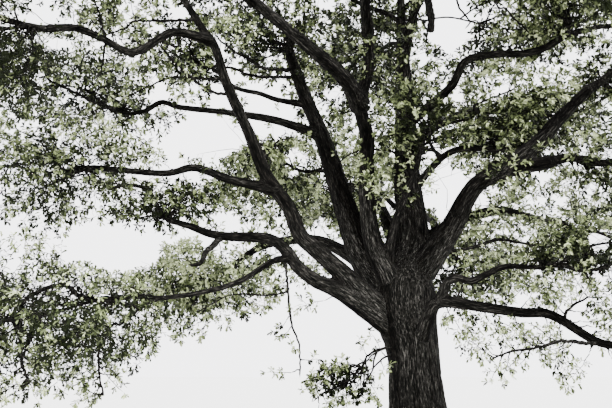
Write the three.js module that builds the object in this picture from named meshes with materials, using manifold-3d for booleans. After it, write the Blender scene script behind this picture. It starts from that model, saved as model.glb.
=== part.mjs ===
// An old open-grown oak in full leaf: a short, flared trunk that runs on as a leader, great limbs
// that leave it low down, and masses of foliage at the ends of the limbs.
// +Z is up, the origin is the middle of the flat cut under the trunk, +X is to the right and +Y
// away, as the oak is usually seen. The tables are in metres and degrees, the solids in
// millimetres. A leg is [run, heading, climb]: heading 0 is along +X and 90 along +Y, and climb
// is above level.
import * as THREE from "three";
import { mergeVertices } from "three/addons/utils/BufferGeometryUtils.js";
import Module from "manifold-3d";

const wasm = await Module();
wasm.setup();

const MM = 1000; // millimetres in a metre
const CLEARANCE = 0.0003; // between solids that meet

// The trunk: the radius at its waist, the flare of the roots, the swelling under the fork and
// the leader above it. Its axis starts a little below the ground, where the flat cut is made.
const WAIST_RADIUS = 0.5;
const FLARE = { spread: 0.4, height: 0.45, ridges: 6, ridgeShare: 0.3 };
const FORK = { height: 3.0, swelling: 0.15, run: 0.62 };
const LEADER = { low: 0.42, tip: 0.07, shoulder: 1.3 };
const BELOW_GROUND = 0.15;
const COLLAR = { swelling: 0.6, run: 5 }; // where a limb joins, in radii of its foot
const TRUNK_FACES = { sides: 18, rings: 19 };
const LIMB_FACES = { sides: 5, thickSides: 6, thickFrom: 0.12, ringSpacing: 0.68 };
const TRUNK_LEGS = [
  [BELOW_GROUND, 0, 90], [0.95, 180, 86], [1.1, 180, 87], [0.8, 125, 80], [0.85, 62, 72],
  [0.75, 43, 73], [1.15, 101, 85], [1.7, 73, 87], [2.15, 68, 87], [1.95, 63, 87],
];

// Each limb leaves its parent `at` metres along the parent's axis and tapers evenly from a
// radius of `thick` to `thin`, with a collar where it joins. The middle of the foliage at its
// end lies `ahead` of the tip and `up` from it, and fills an egg with the half sizes `half`:
// along the limb's heading, across it and in height.
const LIMBS = {
  great_left_limb: {
    from: "trunk", at: 2.4, thick: 0.2, thin: 0.06,
    legs: [[1.8, 194, 42], [0.8, 199, 38], [0.4, 198, 42], [0.6, 213, 62], [0.75, 205, 51],
      [0.85, 219, 61], [1.05, 205, 63], [0.8, 218, 67], [0.45, 202, 52], [0.75, 194, 57],
      [0.6, 196, 58]],
    leaves: { ahead: 1.3, up: 1.3, half: [2.8, 2.6, 1.9] },
  },
  low_left_limb: {
    from: "trunk", at: 2.35, thick: 0.19, thin: 0.06,
    legs: [[1.6, 194, 33], [0.65, 190, 24], [0.45, 196, 36], [0.35, 193, 54], [0.45, 188, 32],
      [0.95, 188, 2], [0.6, 187, 17], [0.4, 187, 14]],
    leaves: { ahead: 0.35, up: 0.55, half: [2.1, 1.4, 0.85] },
  },
  drooping_left_limb: {
    from: "low_left_limb", at: 2.9, thick: 0.06, thin: 0.045,
    legs: [[0.6, 232, -16], [0.85, 223, -31], [0.8, 223, -19], [0.75, 223, -12]],
    leaves: { ahead: 2.1, up: -0.4, half: [2.7, 2.2, 1.2] },
  },
  left_limb: {
    from: "great_left_limb", at: 4.0, thick: 0.09, thin: 0.06,
    legs: [[0.9, 183, 12], [0.8, 172, 21], [0.6, 171, -8], [0.95, 174, 6], [0.6, 174, 8]],
    leaves: { ahead: 1.0, up: 0, half: [2.9, 2.2, 1.5] },
  },
  inner_left_limb: {
    from: "great_left_limb", at: 4.7, thick: 0.05, thin: 0.04,
    legs: [[0.5, 80, 25], [0.5, 95, 35]],
    leaves: { ahead: 0.4, up: 0.3, half: [1.6, 1.3, 0.9] },
  },
  near_left_limb: {
    from: "great_left_limb", at: 7.2, thick: 0.08, thin: 0.065,
    legs: [[0.75, 209, -3], [0.7, 216, -44], [0.4, 220, -35], [0.55, 225, 6], [0.45, 223, -1],
      [0.55, 233, -28]],
    leaves: { ahead: 1.3, up: -0.5, half: [2.2, 2.2, 1.6] },
  },
  left_stem: {
    from: "trunk", at: 2.75, thick: 0.3, thin: 0.13,
    legs: [[0.95, 155, 57], [0.85, 152, 59], [1.1, 145, 71], [1.75, 147, 72], [1.4, 157, 69],
      [1.2, 149, 71]],
    leaves: { ahead: 0.4, up: 1.5, half: [2.6, 2.3, 1.9] },
  },
  long_left_limb: {
    from: "left_stem", at: 4.8, thick: 0.1, thin: 0.055,
    legs: [[1.15, 186, 17], [1.1, 182, 9], [1.1, 189, 3], [0.45, 191, 12], [0.4, 187, -34],
      [0.35, 182, -16]],
    leaves: { ahead: 1.1, up: 0.6, half: [2.8, 2.5, 1.4] },
  },
  left_stem_branch: {
    from: "left_stem", at: 5.7, thick: 0.07, thin: 0.045,
    legs: [[0.75, 191, 5], [0.45, 187, 18], [0.6, 185, 13], [0.65, 191, 39]],
    leaves: { ahead: 0.9, up: 0.5, half: [1.8, 1.8, 1.0] },
  },
  middle_stem: {
    from: "trunk", at: 2.8, thick: 0.19, thin: 0.12,
    legs: [[0.95, 207, 65], [0.65, 180, 66], [0.95, 180, 83], [1.4, 63, 85], [0.85, 180, 82],
      [1.2, 24, 78], [1.6, 121, 86]],
    leaves: { ahead: 0.1, up: 1.7, half: [2.5, 2.3, 1.9] },
  },
  slender_stem: {
    from: "middle_stem", at: 1.05, thick: 0.1, thin: 0.06,
    legs: [[0.9, 313, 73], [0.6, 335, 67], [0.65, 337, 65]],
    leaves: { ahead: 0.35, up: 1.15, half: [1.35, 1.25, 1.1] },
  },
  upper_left_limb: {
    from: "middle_stem", at: 4.75, thick: 0.15, thin: 0.09,
    legs: [[0.7, 229, 40], [0.95, 209, 31], [1.35, 210, 27], [0.6, 204, 34], [1.2, 240, 38]],
    leaves: { ahead: 1.2, up: 1.0, half: [2.5, 2.5, 1.8] },
  },
  front_left_limb: {
    from: "upper_left_limb", at: 3.2, thick: 0.09, thin: 0.06,
    legs: [[1.4, 228, 12], [1.6, 238, 2], [1.2, 236, -12]],
    leaves: { ahead: 1.4, up: -0.5, half: [2.7, 2.6, 1.9] },
  },
  front_limb: {
    from: "middle_stem", at: 6.7, thick: 0.1, thin: 0.06,
    legs: [[1.4, 262, 28], [1.6, 268, 10], [1.4, 266, -14]],
    leaves: { ahead: 1.6, up: -0.5, half: [2.8, 2.7, 1.9] },
  },
  right_limb: {
    from: "trunk", at: 3.3, thick: 0.24, thin: 0.13,
    legs: [[1.25, 344, 53], [0.55, 343, 54], [0.55, 339, 60], [0.45, 340, 49], [0.55, 349, 22],
      [0.9, 347, 8]],
    leaves: { ahead: 2.9, up: -0.1, half: [3.4, 2.6, 1.8] },
  },
  rising_right_limb: {
    from: "right_limb", at: 3.15, thick: 0.16, thin: 0.11,
    legs: [[1.0, 350, 34], [0.8, 340, 45], [0.8, 340, 42]],
    leaves: { ahead: 1.7, up: 0.9, half: [2.8, 2.6, 1.8] },
  },
  low_right_limb: {
    from: "trunk", at: 1.9, thick: 0.13, thin: 0.065,
    legs: [[1.15, 288, 51], [0.35, 312, 39], [0.7, 335, -10], [0.7, 333, -11], [0.5, 336, -7],
      [0.8, 328, -35], [0.5, 320, -10]],
    leaves: { ahead: 2.3, up: 0.9, half: [2.7, 2.5, 1.8] },
  },
  low_right_fork: {
    from: "low_right_limb", at: 1.5, thick: 0.075, thin: 0.05,
    legs: [[0.4, 326, 64], [0.2, 341, 19], [0.25, 346, -16], [0.3, 344, 22], [0.35, 343, 21],
      [0.5, 341, -5]],
    leaves: { ahead: 0.8, up: 0.3, half: [1.4, 1.1, 0.6] },
  },
  inner_right_limb: {
    from: "trunk", at: 5.6, thick: 0.085, thin: 0.06,
    legs: [[1.05, 329, 43], [0.55, 338, 18], [0.7, 344, -10]],
    leaves: { ahead: 0.45, up: 0.75, half: [1.9, 1.6, 1.0] },
  },
  high_right_limb: {
    from: "trunk", at: 7.3, thick: 0.1, thin: 0.07,
    legs: [[1.0, 311, 20], [0.5, 302, 19], [0.55, 310, 46], [0.65, 335, -1], [0.45, 330, -16],
      [0.45, 329, 0], [0.45, 325, 19]],
    leaves: { ahead: 0.75, up: 0.65, half: [2.3, 2.2, 1.5] },
  },
  back_left_limb: {
    from: "trunk", at: 3.35, thick: 0.17, thin: 0.08,
    legs: [[1.2, 140, 35], [1.6, 136, 28], [1.6, 142, 4], [1.3, 138, -16]],
    leaves: { ahead: 1.8, up: -0.5, half: [2.8, 2.7, 1.5] },
  },
  back_limb: {
    from: "trunk", at: 3.85, thick: 0.16, thin: 0.08,
    legs: [[1.2, 105, 52], [1.7, 98, 44], [1.7, 104, 28], [1.0, 100, 8]],
    leaves: { ahead: 1.9, up: 0.6, half: [2.8, 2.7, 2.0] },
  },
  back_right_limb: {
    from: "trunk", at: 4.4, thick: 0.16, thin: 0.08,
    legs: [[1.2, 75, 36], [1.7, 66, 20], [1.7, 70, 2], [1.2, 64, -14]],
    leaves: { ahead: 1.6, up: -0.4, half: [2.8, 2.7, 1.6] },
  },
  right_back_limb: {
    from: "trunk", at: 4.1, thick: 0.16, thin: 0.09,
    legs: [[1.2, 30, 38], [1.7, 24, 22], [1.7, 32, 0]],
    leaves: { ahead: 3.1, up: -0.1, half: [3.3, 2.7, 1.8] },
  },
  high_back_right_limb: {
    from: "trunk", at: 6.6, thick: 0.13, thin: 0.08,
    legs: [[1.3, 44, 42], [1.7, 36, 30], [1.5, 30, 14]],
    leaves: { ahead: 1.2, up: -0.4, half: [2.9, 2.8, 2.1] },
  },
  front_right_limb: {
    from: "trunk", at: 9.0, thick: 0.1, thin: 0.06,
    legs: [[1.2, 300, 64], [1.3, 297, 26], [1.6, 296, -6], [1.7, 295, -26]],
    leaves: { ahead: 1.6, up: -1.3, half: [2.7, 2.7, 2.1] },
  },
};

// Foliage that grows straight from the trunk: `at` metres along it, or on its tip where that is
// null, on a stem that sets out along heading and climb.
const TRUNK_FOLIAGE = {
  top: { at: null, heading: 337, climb: 85, ahead: 0.3, up: 1.9, half: [3.3, 3.3, 2.1] },
  upper_back: { at: 9.4, heading: 100, climb: 35, ahead: 3.5, up: 1.9, half: [3.2, 2.9, 2.1] },
  upper_right: { at: 10.1, heading: 30, climb: 35, ahead: 3.5, up: 1.0, half: [3.2, 2.9, 2.0] },
  upper_front: { at: 10.4, heading: 312, climb: 32, ahead: 3.5, up: 1.15, half: [3.0, 2.8, 2.0] },
  upper_left: { at: 10.1, heading: 175, climb: 38, ahead: 3.6, up: 2.0, half: [2.8, 2.6, 1.9] },
  high_back_left: { at: 5.2, heading: 134, climb: 45, ahead: 4.6, up: 2.4, half: [2.9, 2.7, 1.9] },
  low_shoot: { at: 2.1, heading: 205, climb: 5, ahead: 1.5, up: -0.5, half: [0.95, 0.75, 0.55] },
};

// The rule by which a mass of foliage grows. Its stem runs from the foot through the middle of
// its egg. Twigs leave the stem for places spread evenly through the egg, each ends in a spray
// of leaves, and side sprays stand out from it.
const STEM = { sides: 5, rings: 4, thin: 0.035, overrun: 0.4, trunkRadius: 0.075,
  tipShare: 0.96, straightOnTip: 0.15, straightOnTrunk: 0.7 };
const KNOTS = { first: 0.1, last: 0.95, spacing: 0.1, costAlong: 0.5 }; // where twigs may leave it
const SPREAD = { level: 0.7549, turn: 0.5698 }; // steps that never fall into a pattern
const TWIG = { thick: 0.022, thin: 0.018, shortest: 0.3, most: 5, tries: 120, reach: [0.72, 0.96] };
const SPRAY = { perSize: 0.27, longest: 1.7, shortest: 0.5, width: 0.78, thickness: 0.025,
  depth: 0.66, widestAt: 0.56, sideSize: 0.85, shrink: 0.4, apart: 0.4, root: 0.006, overTwig: 0.9 };
const SIDE_SPRAYS = [0.45, 0.85]; // shares of the twig at which they leave it
// The degrees between a twig and its sprays, and the turns round it that a spray may try.
const SWAY = { end: 26, endTurns: [0, 120, 240], side: 62, sideTurns: [90, 140, 40, 190], roll: 60 };
// The places on a spray, along it and across it, that must lie in its own space.
const PROBES = { runs: [0.15, 0.3, 0.43, 0.56, 0.7, 0.85, 1], outs: [-1, -0.5, 0, 0.5, 1] };
const RIB = [0.3, 0.65, 1]; // the places along it that keep apart from other sprays
const SPACE_MARGIN = 0.02; // of an egg's size, kept free at the border with the next one
const LIMB_MARGIN = 0.08; // kept free round every limb, and the spacing of the stakes along it
const LOWEST_LEAF = 1.0; // above the ground
const FIRST_SEED = 101;

const BARK = new THREE.MeshStandardMaterial({ color: 0x37322c, roughness: 0.95, metalness: 0 });
const LEAF = new THREE.MeshStandardMaterial({ color: 0x56633a, roughness: 0.7, metalness: 0 });

const { clamp, degToRad, lerp, smoothstep } = THREE.MathUtils;
const UP = new THREE.Vector3(0, 0, 1);

const direction = (heading, climb) => new THREE.Vector3(
  Math.cos(degToRad(climb)) * Math.cos(degToRad(heading)),
  Math.cos(degToRad(climb)) * Math.sin(degToRad(heading)),
  Math.sin(degToRad(climb)),
);

// A seeded source of numbers from 0 to 1, so that the oak grows the same way every time.
function seeded(seed) {
  let state = seed >>> 0;
  return () => {
    state = (state + 0x6d2b79f5) >>> 0;
    let t = state;
    t = Math.imul(t ^ (t >>> 15), t | 1);
    t ^= t + Math.imul(t ^ (t >>> 7), t | 61);
    return ((t ^ (t >>> 14)) >>> 0) / 4294967296;
  };
}

// An axis is a smooth curve through given points, with its length.
function axisThrough(points) {
  const curve = new THREE.CatmullRomCurve3(points, false, "catmullrom", 0.5);
  return { curve, length: curve.getLength() };
}

function axisOfLegs(start, legs) {
  const joints = [start.clone()];
  for (const [run, heading, climb] of legs)
    joints.push(joints.at(-1).clone().addScaledVector(direction(heading, climb), run));
  return axisThrough(joints);
}

const pointAlong = (axis, metres) => axis.curve.getPointAt(Math.min(1, metres / axis.length));

// Turns a closed geometry into a solid, with its shared corners merged.
function solidOf(geometry) {
  const bare = geometry.toNonIndexed();
  bare.deleteAttribute("normal");
  bare.deleteAttribute("uv");
  const merged = mergeVertices(bare, 1e-3);
  return new wasm.Manifold(new wasm.Mesh({
    numProp: 3,
    vertProperties: merged.attributes.position.array,
    triVerts: new Uint32Array(merged.index.array),
  }));
}

// Moves each corner of a closed cylinder, or of a cone if it is pointed, to its own place. The
// place depends on the ring, counted from the foot, and the angle round it, which is null in
// the middle of an end.
function shaped(sides, rings, pointed, placeOf) {
  const form = new THREE.CylinderGeometry(pointed ? 0 : 1, 1, 1, sides, rings);
  const corners = form.attributes.position;
  for (let i = 0; i < corners.count; i++) {
    const ring = Math.round((corners.getY(i) + 0.5) * rings);
    const onRing = Math.hypot(corners.getX(i), corners.getZ(i)) > 1e-6;
    const angle = onRing ? Math.atan2(corners.getZ(i), corners.getX(i)) : null;
    const place = placeOf(ring, angle).multiplyScalar(MM);
    corners.setXYZ(i, place.x, place.y, place.z);
  }
  return solidOf(form);
}

// A tube along an axis. radiusAt takes the metres along it and the angle round it.
function tube(axis, radiusAt, sides, rings, grown = 0) {
  const frames = axis.curve.computeFrenetFrames(rings, false);
  return shaped(sides, rings, false, (ring, angle) => {
    const out = angle === null ? 0 : radiusAt((ring / rings) * axis.length, angle) + grown;
    const past = ring === 0 ? -grown : ring === rings ? grown : 0;
    return axis.curve.getPointAt(ring / rings)
      .addScaledVector(frames.tangents[ring], past)
      .addScaledVector(frames.binormals[ring], out * Math.cos(angle))
      .addScaledVector(frames.normals[ring], out * Math.sin(angle));
  });
}

// The trunk's radius: root ridges that die away upwards, the waist, the swelling under the fork
// and the taper of the leader.
function trunkRadius(length) {
  return (along, angle) => {
    const height = Math.max(0, along - BELOW_GROUND);
    const ridges = 1 + FLARE.ridgeShare * Math.cos(FLARE.ridges * angle + 0.8 * Math.sin(angle));
    const flare = FLARE.spread * Math.exp(-height / FLARE.height) * ridges;
    const swelling = FORK.swelling * Math.exp(-(((height - FORK.height) / FORK.run) ** 2));
    const leader = lerp(LEADER.low, LEADER.tip,
      Math.max(0, along - FORK.height) / (length - FORK.height));
    const above = smoothstep(height, FORK.height, FORK.height + LEADER.shoulder);
    return lerp(WAIST_RADIUS, leader, above) + swelling + flare;
  };
}

// A limb's radius: an even taper, and the collar where it joins its parent.
const limbRadius = ({ thick, thin }, length) => (along) =>
  lerp(thick, thin, along / length)
  + COLLAR.swelling * thick * Math.exp(-along / (COLLAR.run * thick));

// The largest piece of a solid, as a cut can leave a loose scrap.
const largestPiece = (solid) => solid.decompose()
  .reduce((best, piece) => (piece.volume() > best.volume() ? piece : best));

const boxesMeet = (a, b) =>
  [0, 1, 2].every((k) => a.min[k] < b.max[k] && b.min[k] < a.max[k]);

// The wood, in an order in which a parent comes before its branches. Each solid is cut clear of
// the ones before it.
const wood = {};
function addWood(name, axis, radiusAt, sides, rings) {
  let solid = tube(axis, radiusAt, sides, rings);
  for (const { cutter } of Object.values(wood))
    if (boxesMeet(solid.boundingBox(), cutter.boundingBox())) solid = solid.subtract(cutter);
  const cutter = tube(axis, radiusAt, sides, rings, CLEARANCE);
  wood[name] = { axis, radiusAt, sides, solid: largestPiece(solid), cutter };
}

function addTrunk() {
  const axis = axisOfLegs(new THREE.Vector3(0, 0, -BELOW_GROUND), TRUNK_LEGS);
  addWood("trunk", axis, trunkRadius(axis.length), TRUNK_FACES.sides, TRUNK_FACES.rings);
  const ground = new THREE.BoxGeometry(4 * MM, 4 * MM, MM).translate(0, 0, -0.5 * MM);
  wood.trunk.solid = wood.trunk.solid.subtract(solidOf(ground));
}

function addLimb(name) {
  const limb = LIMBS[name];
  const axis = axisOfLegs(pointAlong(wood[limb.from].axis, limb.at), limb.legs);
  const sides = limb.thick > LIMB_FACES.thickFrom ? LIMB_FACES.thickSides : LIMB_FACES.sides;
  const rings = Math.max(2, Math.round(axis.length / LIMB_FACES.ringSpacing));
  addWood(name, axis, limbRadius(limb, axis.length), sides, rings);
}

// The foot of a mass at the end of a limb, a little slimmer than the limb is there.
function footOnTip(limb) {
  const { axis, radiusAt, sides } = wood[limb];
  const tangent = axis.curve.getTangentAt(1);
  const point = axis.curve.getPointAt(1).addScaledVector(tangent, CLEARANCE);
  return { point, direction: tangent, straight: STEM.straightOnTip,
    sides: Math.min(sides, LIMB_FACES.thickSides), radius: STEM.tipShare * radiusAt(axis.length, 0),
    onTrunk: false };
}

// The foot of a mass on the side of the trunk. It starts on the trunk's axis and is cut clear.
function footOnTrunk({ at, heading, climb }) {
  return { point: pointAlong(wood.trunk.axis, at), direction: direction(heading, climb),
    straight: STEM.straightOnTrunk, sides: STEM.sides, radius: STEM.trunkRadius, onTrunk: true };
}

// A mass: its foot, the egg that it keeps to, and its stem.
const masses = {};
function addMass(name, foot, heading, { ahead, up, half }) {
  const along = direction(heading, 0);
  const middle = foot.point.clone().addScaledVector(along, ahead).addScaledVector(UP, up);
  const kink = foot.point.clone().addScaledVector(foot.direction, foot.straight);
  const end = middle.clone().addScaledVector(along, STEM.overrun * half[0]);
  masses[name] = { foot, half, middle, along, across: direction(heading + 90, 0),
    stem: axisThrough([foot.point, kink, middle, end]) };
}

// A place on the straight pieces of a stem, between two of its rings.
function pointOnStem(stem, along) {
  const place = Math.min(0.9999, along / stem.length) * STEM.rings;
  const ring = Math.floor(place);
  return stem.curve.getPointAt(ring / STEM.rings)
    .lerp(stem.curve.getPointAt((ring + 1) / STEM.rings), place - ring);
}

// How far out a point lies in a mass's egg: 0 in the middle and 1 at the edge.
function depthIn(mass, point) {
  const from = point.clone().sub(mass.middle);
  return Math.hypot(from.dot(mass.along) / mass.half[0], from.dot(mass.across) / mass.half[1],
    from.z / mass.half[2]);
}

function inOwnSpace(name, point) {
  const own = depthIn(masses[name], point);
  return own < 1 && point.z > LOWEST_LEAF && Object.entries(masses).every(([other, mass]) =>
    other === name || depthIn(mass, point) > own + SPACE_MARGIN);
}

const stemRadius = (mass) => (along) =>
  lerp(mass.foot.radius, STEM.thin, Math.sqrt(along / mass.stem.length));

// Points along every limb and stem, each with the radius there and the mass that it belongs to.
const stakes = [];
function setStakes() {
  const line = (length, pointAt, radiusAt, owner) => {
    for (let along = 0; along <= length; along += LIMB_MARGIN)
      stakes.push({ point: pointAt(along), radius: radiusAt(along, 0), owner });
  };
  for (const { axis, radiusAt } of Object.values(wood))
    line(axis.length, (along) => pointAlong(axis, along), radiusAt, null);
  for (const [name, mass] of Object.entries(masses))
    line(mass.stem.length, (along) => pointOnStem(mass.stem, along), stemRadius(mass), name);
}

const fits = (name, point) => inOwnSpace(name, point) && stakes.every((stake) =>
  stake.owner === name || stake.point.distanceTo(point) > stake.radius + LIMB_MARGIN);

// A direction bent by so many degrees, to a side that is so many degrees round from level.
function bent(from, degrees, turn) {
  const side = new THREE.Vector3().crossVectors(UP, from).normalize();
  const above = new THREE.Vector3().crossVectors(from, side);
  return from.clone().multiplyScalar(Math.cos(degToRad(degrees)))
    .addScaledVector(side, Math.sin(degToRad(degrees)) * Math.cos(degToRad(turn)))
    .addScaledVector(above, Math.sin(degToRad(degrees)) * Math.sin(degToRad(turn)));
}

// A spray: its root, the direction in which it grows, its own side and face, and its length.
function sprayAt(root, along, roll, length) {
  return { root, along, side: bent(along, 90, roll), face: bent(along, 90, roll - 90), length };
}

const onSpray = ({ root, along, side, length }, run, out) => root.clone()
  .addScaledVector(along, run * length)
  .addScaledVector(side, out * 0.5 * SPRAY.width * length);

// A spray fits if its ribs and edges stay in the mass's own space and apart from other sprays.
function sprayFits(name, spray, others) {
  for (const run of PROBES.runs)
    for (const out of PROBES.outs) {
      const wide = run < SPRAY.widestAt ? run / SPRAY.widestAt : (1 - run) / (1 - SPRAY.widestAt);
      if (!fits(name, onSpray(spray, run, out * wide))) return false;
    }
  return others.every((other) => RIB.every((a) => RIB.every((b) =>
    onSpray(spray, a, 0).distanceTo(onSpray(other, b, 0)) > SPRAY.apart * spray.length)));
}

function twigFits(name, knot, tip) {
  for (let share = 0.1; share < 1.01; share += 0.1)
    if (!fits(name, knot.clone().lerp(tip, share))) return false;
  return true;
}

// The place on the stem from which a twig reaches its tip with the least wood.
function knotFor(stem, tip) {
  let knot = null;
  let least = Infinity;
  const last = KNOTS.last * stem.length;
  for (let along = KNOTS.first * stem.length; along <= last; along += KNOTS.spacing) {
    const point = pointOnStem(stem, along);
    const cost = point.distanceTo(tip) + KNOTS.costAlong * along;
    if (cost < least) [knot, least] = [point, cost];
  }
  return knot;
}

// The place in a mass's egg that its try number k makes for.
function tipFor({ middle, along, across, half }, k, reach) {
  const level = 1 - 2 * ((0.5 + k * SPREAD.level) % 1);
  const turn = degToRad(360 * ((0.5 + k * SPREAD.turn) % 1));
  const out = reach * Math.sqrt(1 - level * level);
  return middle.clone()
    .addScaledVector(along, half[0] * out * Math.cos(turn))
    .addScaledVector(across, half[1] * out * Math.sin(turn))
    .addScaledVector(UP, half[2] * reach * level);
}

// Grows the twigs of a mass, each with its end spray and side sprays.
function growTwigs(name, seed) {
  const { half, stem } = masses[name];
  const random = seeded(seed);
  const largest = clamp(SPRAY.perSize * (half[0] + half[1] + half[2]),
    SPRAY.shortest, SPRAY.longest);
  const twigs = [];
  const sprays = [];
  for (let k = 0; k < TWIG.tries && twigs.length < TWIG.most; k++) {
    const reach = lerp(...TWIG.reach, random());
    const [bend, roll] = [360 * random(), 180 * random()];
    const size = largest * (1 - (SPRAY.shrink * k) / TWIG.tries);
    const tip = tipFor(masses[name], k, reach);
    const knot = knotFor(stem, tip);
    const way = tip.clone().sub(knot);
    const run = way.length() - SPRAY.overTwig * size;
    if (run < TWIG.shortest) continue;
    way.normalize();
    const neck = knot.clone().addScaledVector(way, run);
    if (!twigFits(name, knot, neck)) continue;
    const end = SWAY.endTurns
      .map((turn) => sprayAt(neck, bent(way, SWAY.end, bend + turn), roll, size))
      .find((spray) => sprayFits(name, spray, sprays));
    if (!end) continue;
    const twig = { knot, neck, end, sides: [] };
    twigs.push(twig);
    sprays.push(end);
    SIDE_SPRAYS.forEach((share, i) => {
      const root = knot.clone().lerp(neck, share);
      const side = SWAY.sideTurns
        .map((turn) => sprayAt(root, bent(way, SWAY.side, bend + 180 * i + turn),
          roll + SWAY.roll, SPRAY.sideSize * size))
        .find((spray) => sprayFits(name, spray, sprays));
      if (!side) return;
      twig.sides.push(side);
      sprays.push(side);
    });
  }
  return twigs;
}

// One corner of a three-sided section with a half width and a half depth.
function corner(middle, side, face, wide, deep, angle) {
  if (angle === null) return middle.clone();
  return middle.clone().addScaledVector(side, wide * Math.cos(angle) / Math.cos(Math.PI / 6))
    .addScaledVector(face, deep * Math.sin(angle));
}

const bladeCorner = (spray, angle) => corner(onSpray(spray, SPRAY.widestAt, 0), spray.side,
  spray.face, 0.5 * SPRAY.width * spray.length, SPRAY.depth * SPRAY.thickness * spray.length, angle);

// A three-sided twig that widens at its end into the blade of its spray.
function twigSolid({ knot, neck, end }) {
  const way = neck.clone().sub(knot).normalize();
  const side = end.side.clone().addScaledVector(way, -end.side.dot(way)).normalize();
  const face = new THREE.Vector3().crossVectors(side, way);
  return shaped(3, 3, true, (ring, angle) => [
    () => corner(knot, side, face, TWIG.thick, TWIG.thick, angle),
    () => corner(neck, end.side, end.face, TWIG.thin, TWIG.thin, angle),
    () => bladeCorner(end, angle),
    () => onSpray(end, 1, 0),
  ][ring]());
}

// A side spray, whose fine root is sunk to the middle of its twig.
const sideSolid = (spray) => shaped(3, 2, true, (ring, angle) => [
  () => corner(spray.root, spray.side, spray.face, SPRAY.root, SPRAY.root, angle),
  () => bladeCorner(spray, angle),
  () => onSpray(spray, 1, 0),
][ring]());

function massSolid(name, seed) {
  const mass = masses[name];
  const { foot } = mass;
  const stem = tube(mass.stem, stemRadius(mass), foot.sides, STEM.rings);
  const parts = growTwigs(name, seed)
    .flatMap((twig) => [twigSolid(twig), ...twig.sides.map(sideSolid)]);
  const solid = parts.reduce((sum, part) => sum.add(part), stem);
  return largestPiece(foot.onTrunk ? solid.subtract(wood.trunk.cutter) : solid);
}

function meshOf(name, solid, material) {
  const { vertProperties, triVerts } = solid.getMesh();
  const geometry = new THREE.BufferGeometry()
    .setAttribute("position", new THREE.BufferAttribute(new Float32Array(vertProperties), 3))
    .setIndex(new THREE.BufferAttribute(new Uint32Array(triVerts), 1));
  geometry.computeVertexNormals();
  const mesh = new THREE.Mesh(geometry, material);
  mesh.name = name;
  return mesh;
}

addTrunk();
Object.keys(LIMBS).forEach(addLimb);
for (const [name, { legs, leaves }] of Object.entries(LIMBS))
  addMass(name + "_foliage", footOnTip(name), legs.at(-1)[1], leaves);
for (const [name, leaves] of Object.entries(TRUNK_FOLIAGE))
  addMass(name + "_foliage", leaves.at === null ? footOnTip("trunk") : footOnTrunk(leaves),
    leaves.heading, leaves);
setStakes();

const oak = new THREE.Group();
for (const [name, { solid }] of Object.entries(wood)) oak.add(meshOf(name, solid, BARK));
Object.keys(masses).forEach((name, i) =>
  oak.add(meshOf(name, massSolid(name, FIRST_SEED + i), LEAF)));

export default oak;
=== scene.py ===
# %% [markdown]
# An old open-grown oak in full leaf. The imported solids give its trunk, its limbs and the places
# of its foliage. This lesson dresses them: bark on the wood, and boughs, twigs and leaves in the
# place of each plain mass of foliage. Everything is in metres, +Z is up, the origin is the
# middle of the flat cut under the trunk, +X is to the right and +Y away from the camera.

# %% Load the solids
import math
import bpy
import numpy as np
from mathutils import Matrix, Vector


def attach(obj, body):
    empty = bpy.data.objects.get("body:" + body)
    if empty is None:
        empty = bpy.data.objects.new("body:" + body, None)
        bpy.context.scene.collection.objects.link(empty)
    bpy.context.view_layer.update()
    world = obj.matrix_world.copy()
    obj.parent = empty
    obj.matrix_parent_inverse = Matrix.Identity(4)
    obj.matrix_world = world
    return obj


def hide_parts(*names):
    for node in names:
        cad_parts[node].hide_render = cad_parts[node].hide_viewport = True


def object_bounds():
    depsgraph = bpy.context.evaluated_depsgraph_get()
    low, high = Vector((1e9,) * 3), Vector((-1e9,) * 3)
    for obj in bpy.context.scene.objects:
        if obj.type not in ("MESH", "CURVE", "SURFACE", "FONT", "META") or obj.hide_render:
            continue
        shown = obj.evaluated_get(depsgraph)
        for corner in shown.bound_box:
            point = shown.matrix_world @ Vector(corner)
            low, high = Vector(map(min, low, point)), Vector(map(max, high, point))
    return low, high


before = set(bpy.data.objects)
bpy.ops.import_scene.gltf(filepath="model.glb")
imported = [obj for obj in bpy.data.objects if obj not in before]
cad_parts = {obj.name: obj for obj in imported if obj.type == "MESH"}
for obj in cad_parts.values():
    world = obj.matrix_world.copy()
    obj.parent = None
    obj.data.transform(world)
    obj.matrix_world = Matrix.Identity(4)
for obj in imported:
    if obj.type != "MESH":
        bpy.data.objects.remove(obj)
CAD_BOX = np.array(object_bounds())
print("solids", len(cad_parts), "from", CAD_BOX[0].round(2), "to", CAD_BOX[1].round(2))

# %% [markdown]
# The camera comes first, because two things depend on where the eye is: the leaves nearer to it
# are smaller, as a large leaf would show there, and the crown is kept open where the sky shows
# through. The eye is at a standing adult's height, a few metres outside the trunk's left, and
# looks up a little with a wide lens.

# %% Camera
EYE = np.array([-2.2, -12.0, 1.6])
TILT = math.radians(15.8)
PICTURE = (612, 408)
FOCUS = 595.0  # in pixels of the picture

def eye_camera():
    lens = bpy.data.cameras.new("eye")
    lens.sensor_width = 36.0
    lens.lens = FOCUS * lens.sensor_width / PICTURE[0]
    camera = bpy.data.objects.new("eye", lens)
    camera.location = EYE
    camera.rotation_euler = (math.radians(90) + TILT, 0, 0)
    bpy.context.scene.collection.objects.link(camera)
    bpy.context.scene.camera = camera
    return camera

def seen_at(points):
    """The pixel at which each point is seen, and its depth."""
    way = points - EYE
    depth = way[:, 1] * math.cos(TILT) + way[:, 2] * math.sin(TILT)
    up = way[:, 2] * math.cos(TILT) - way[:, 1] * math.sin(TILT)
    far = np.maximum(depth, 0.1)
    return np.stack([PICTURE[0] / 2 + FOCUS * way[:, 0] / far,
                     PICTURE[1] / 2 - FOCUS * up / far, depth], 1)

print("camera lens", round(eye_camera().data.lens, 1), "mm")

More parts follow.
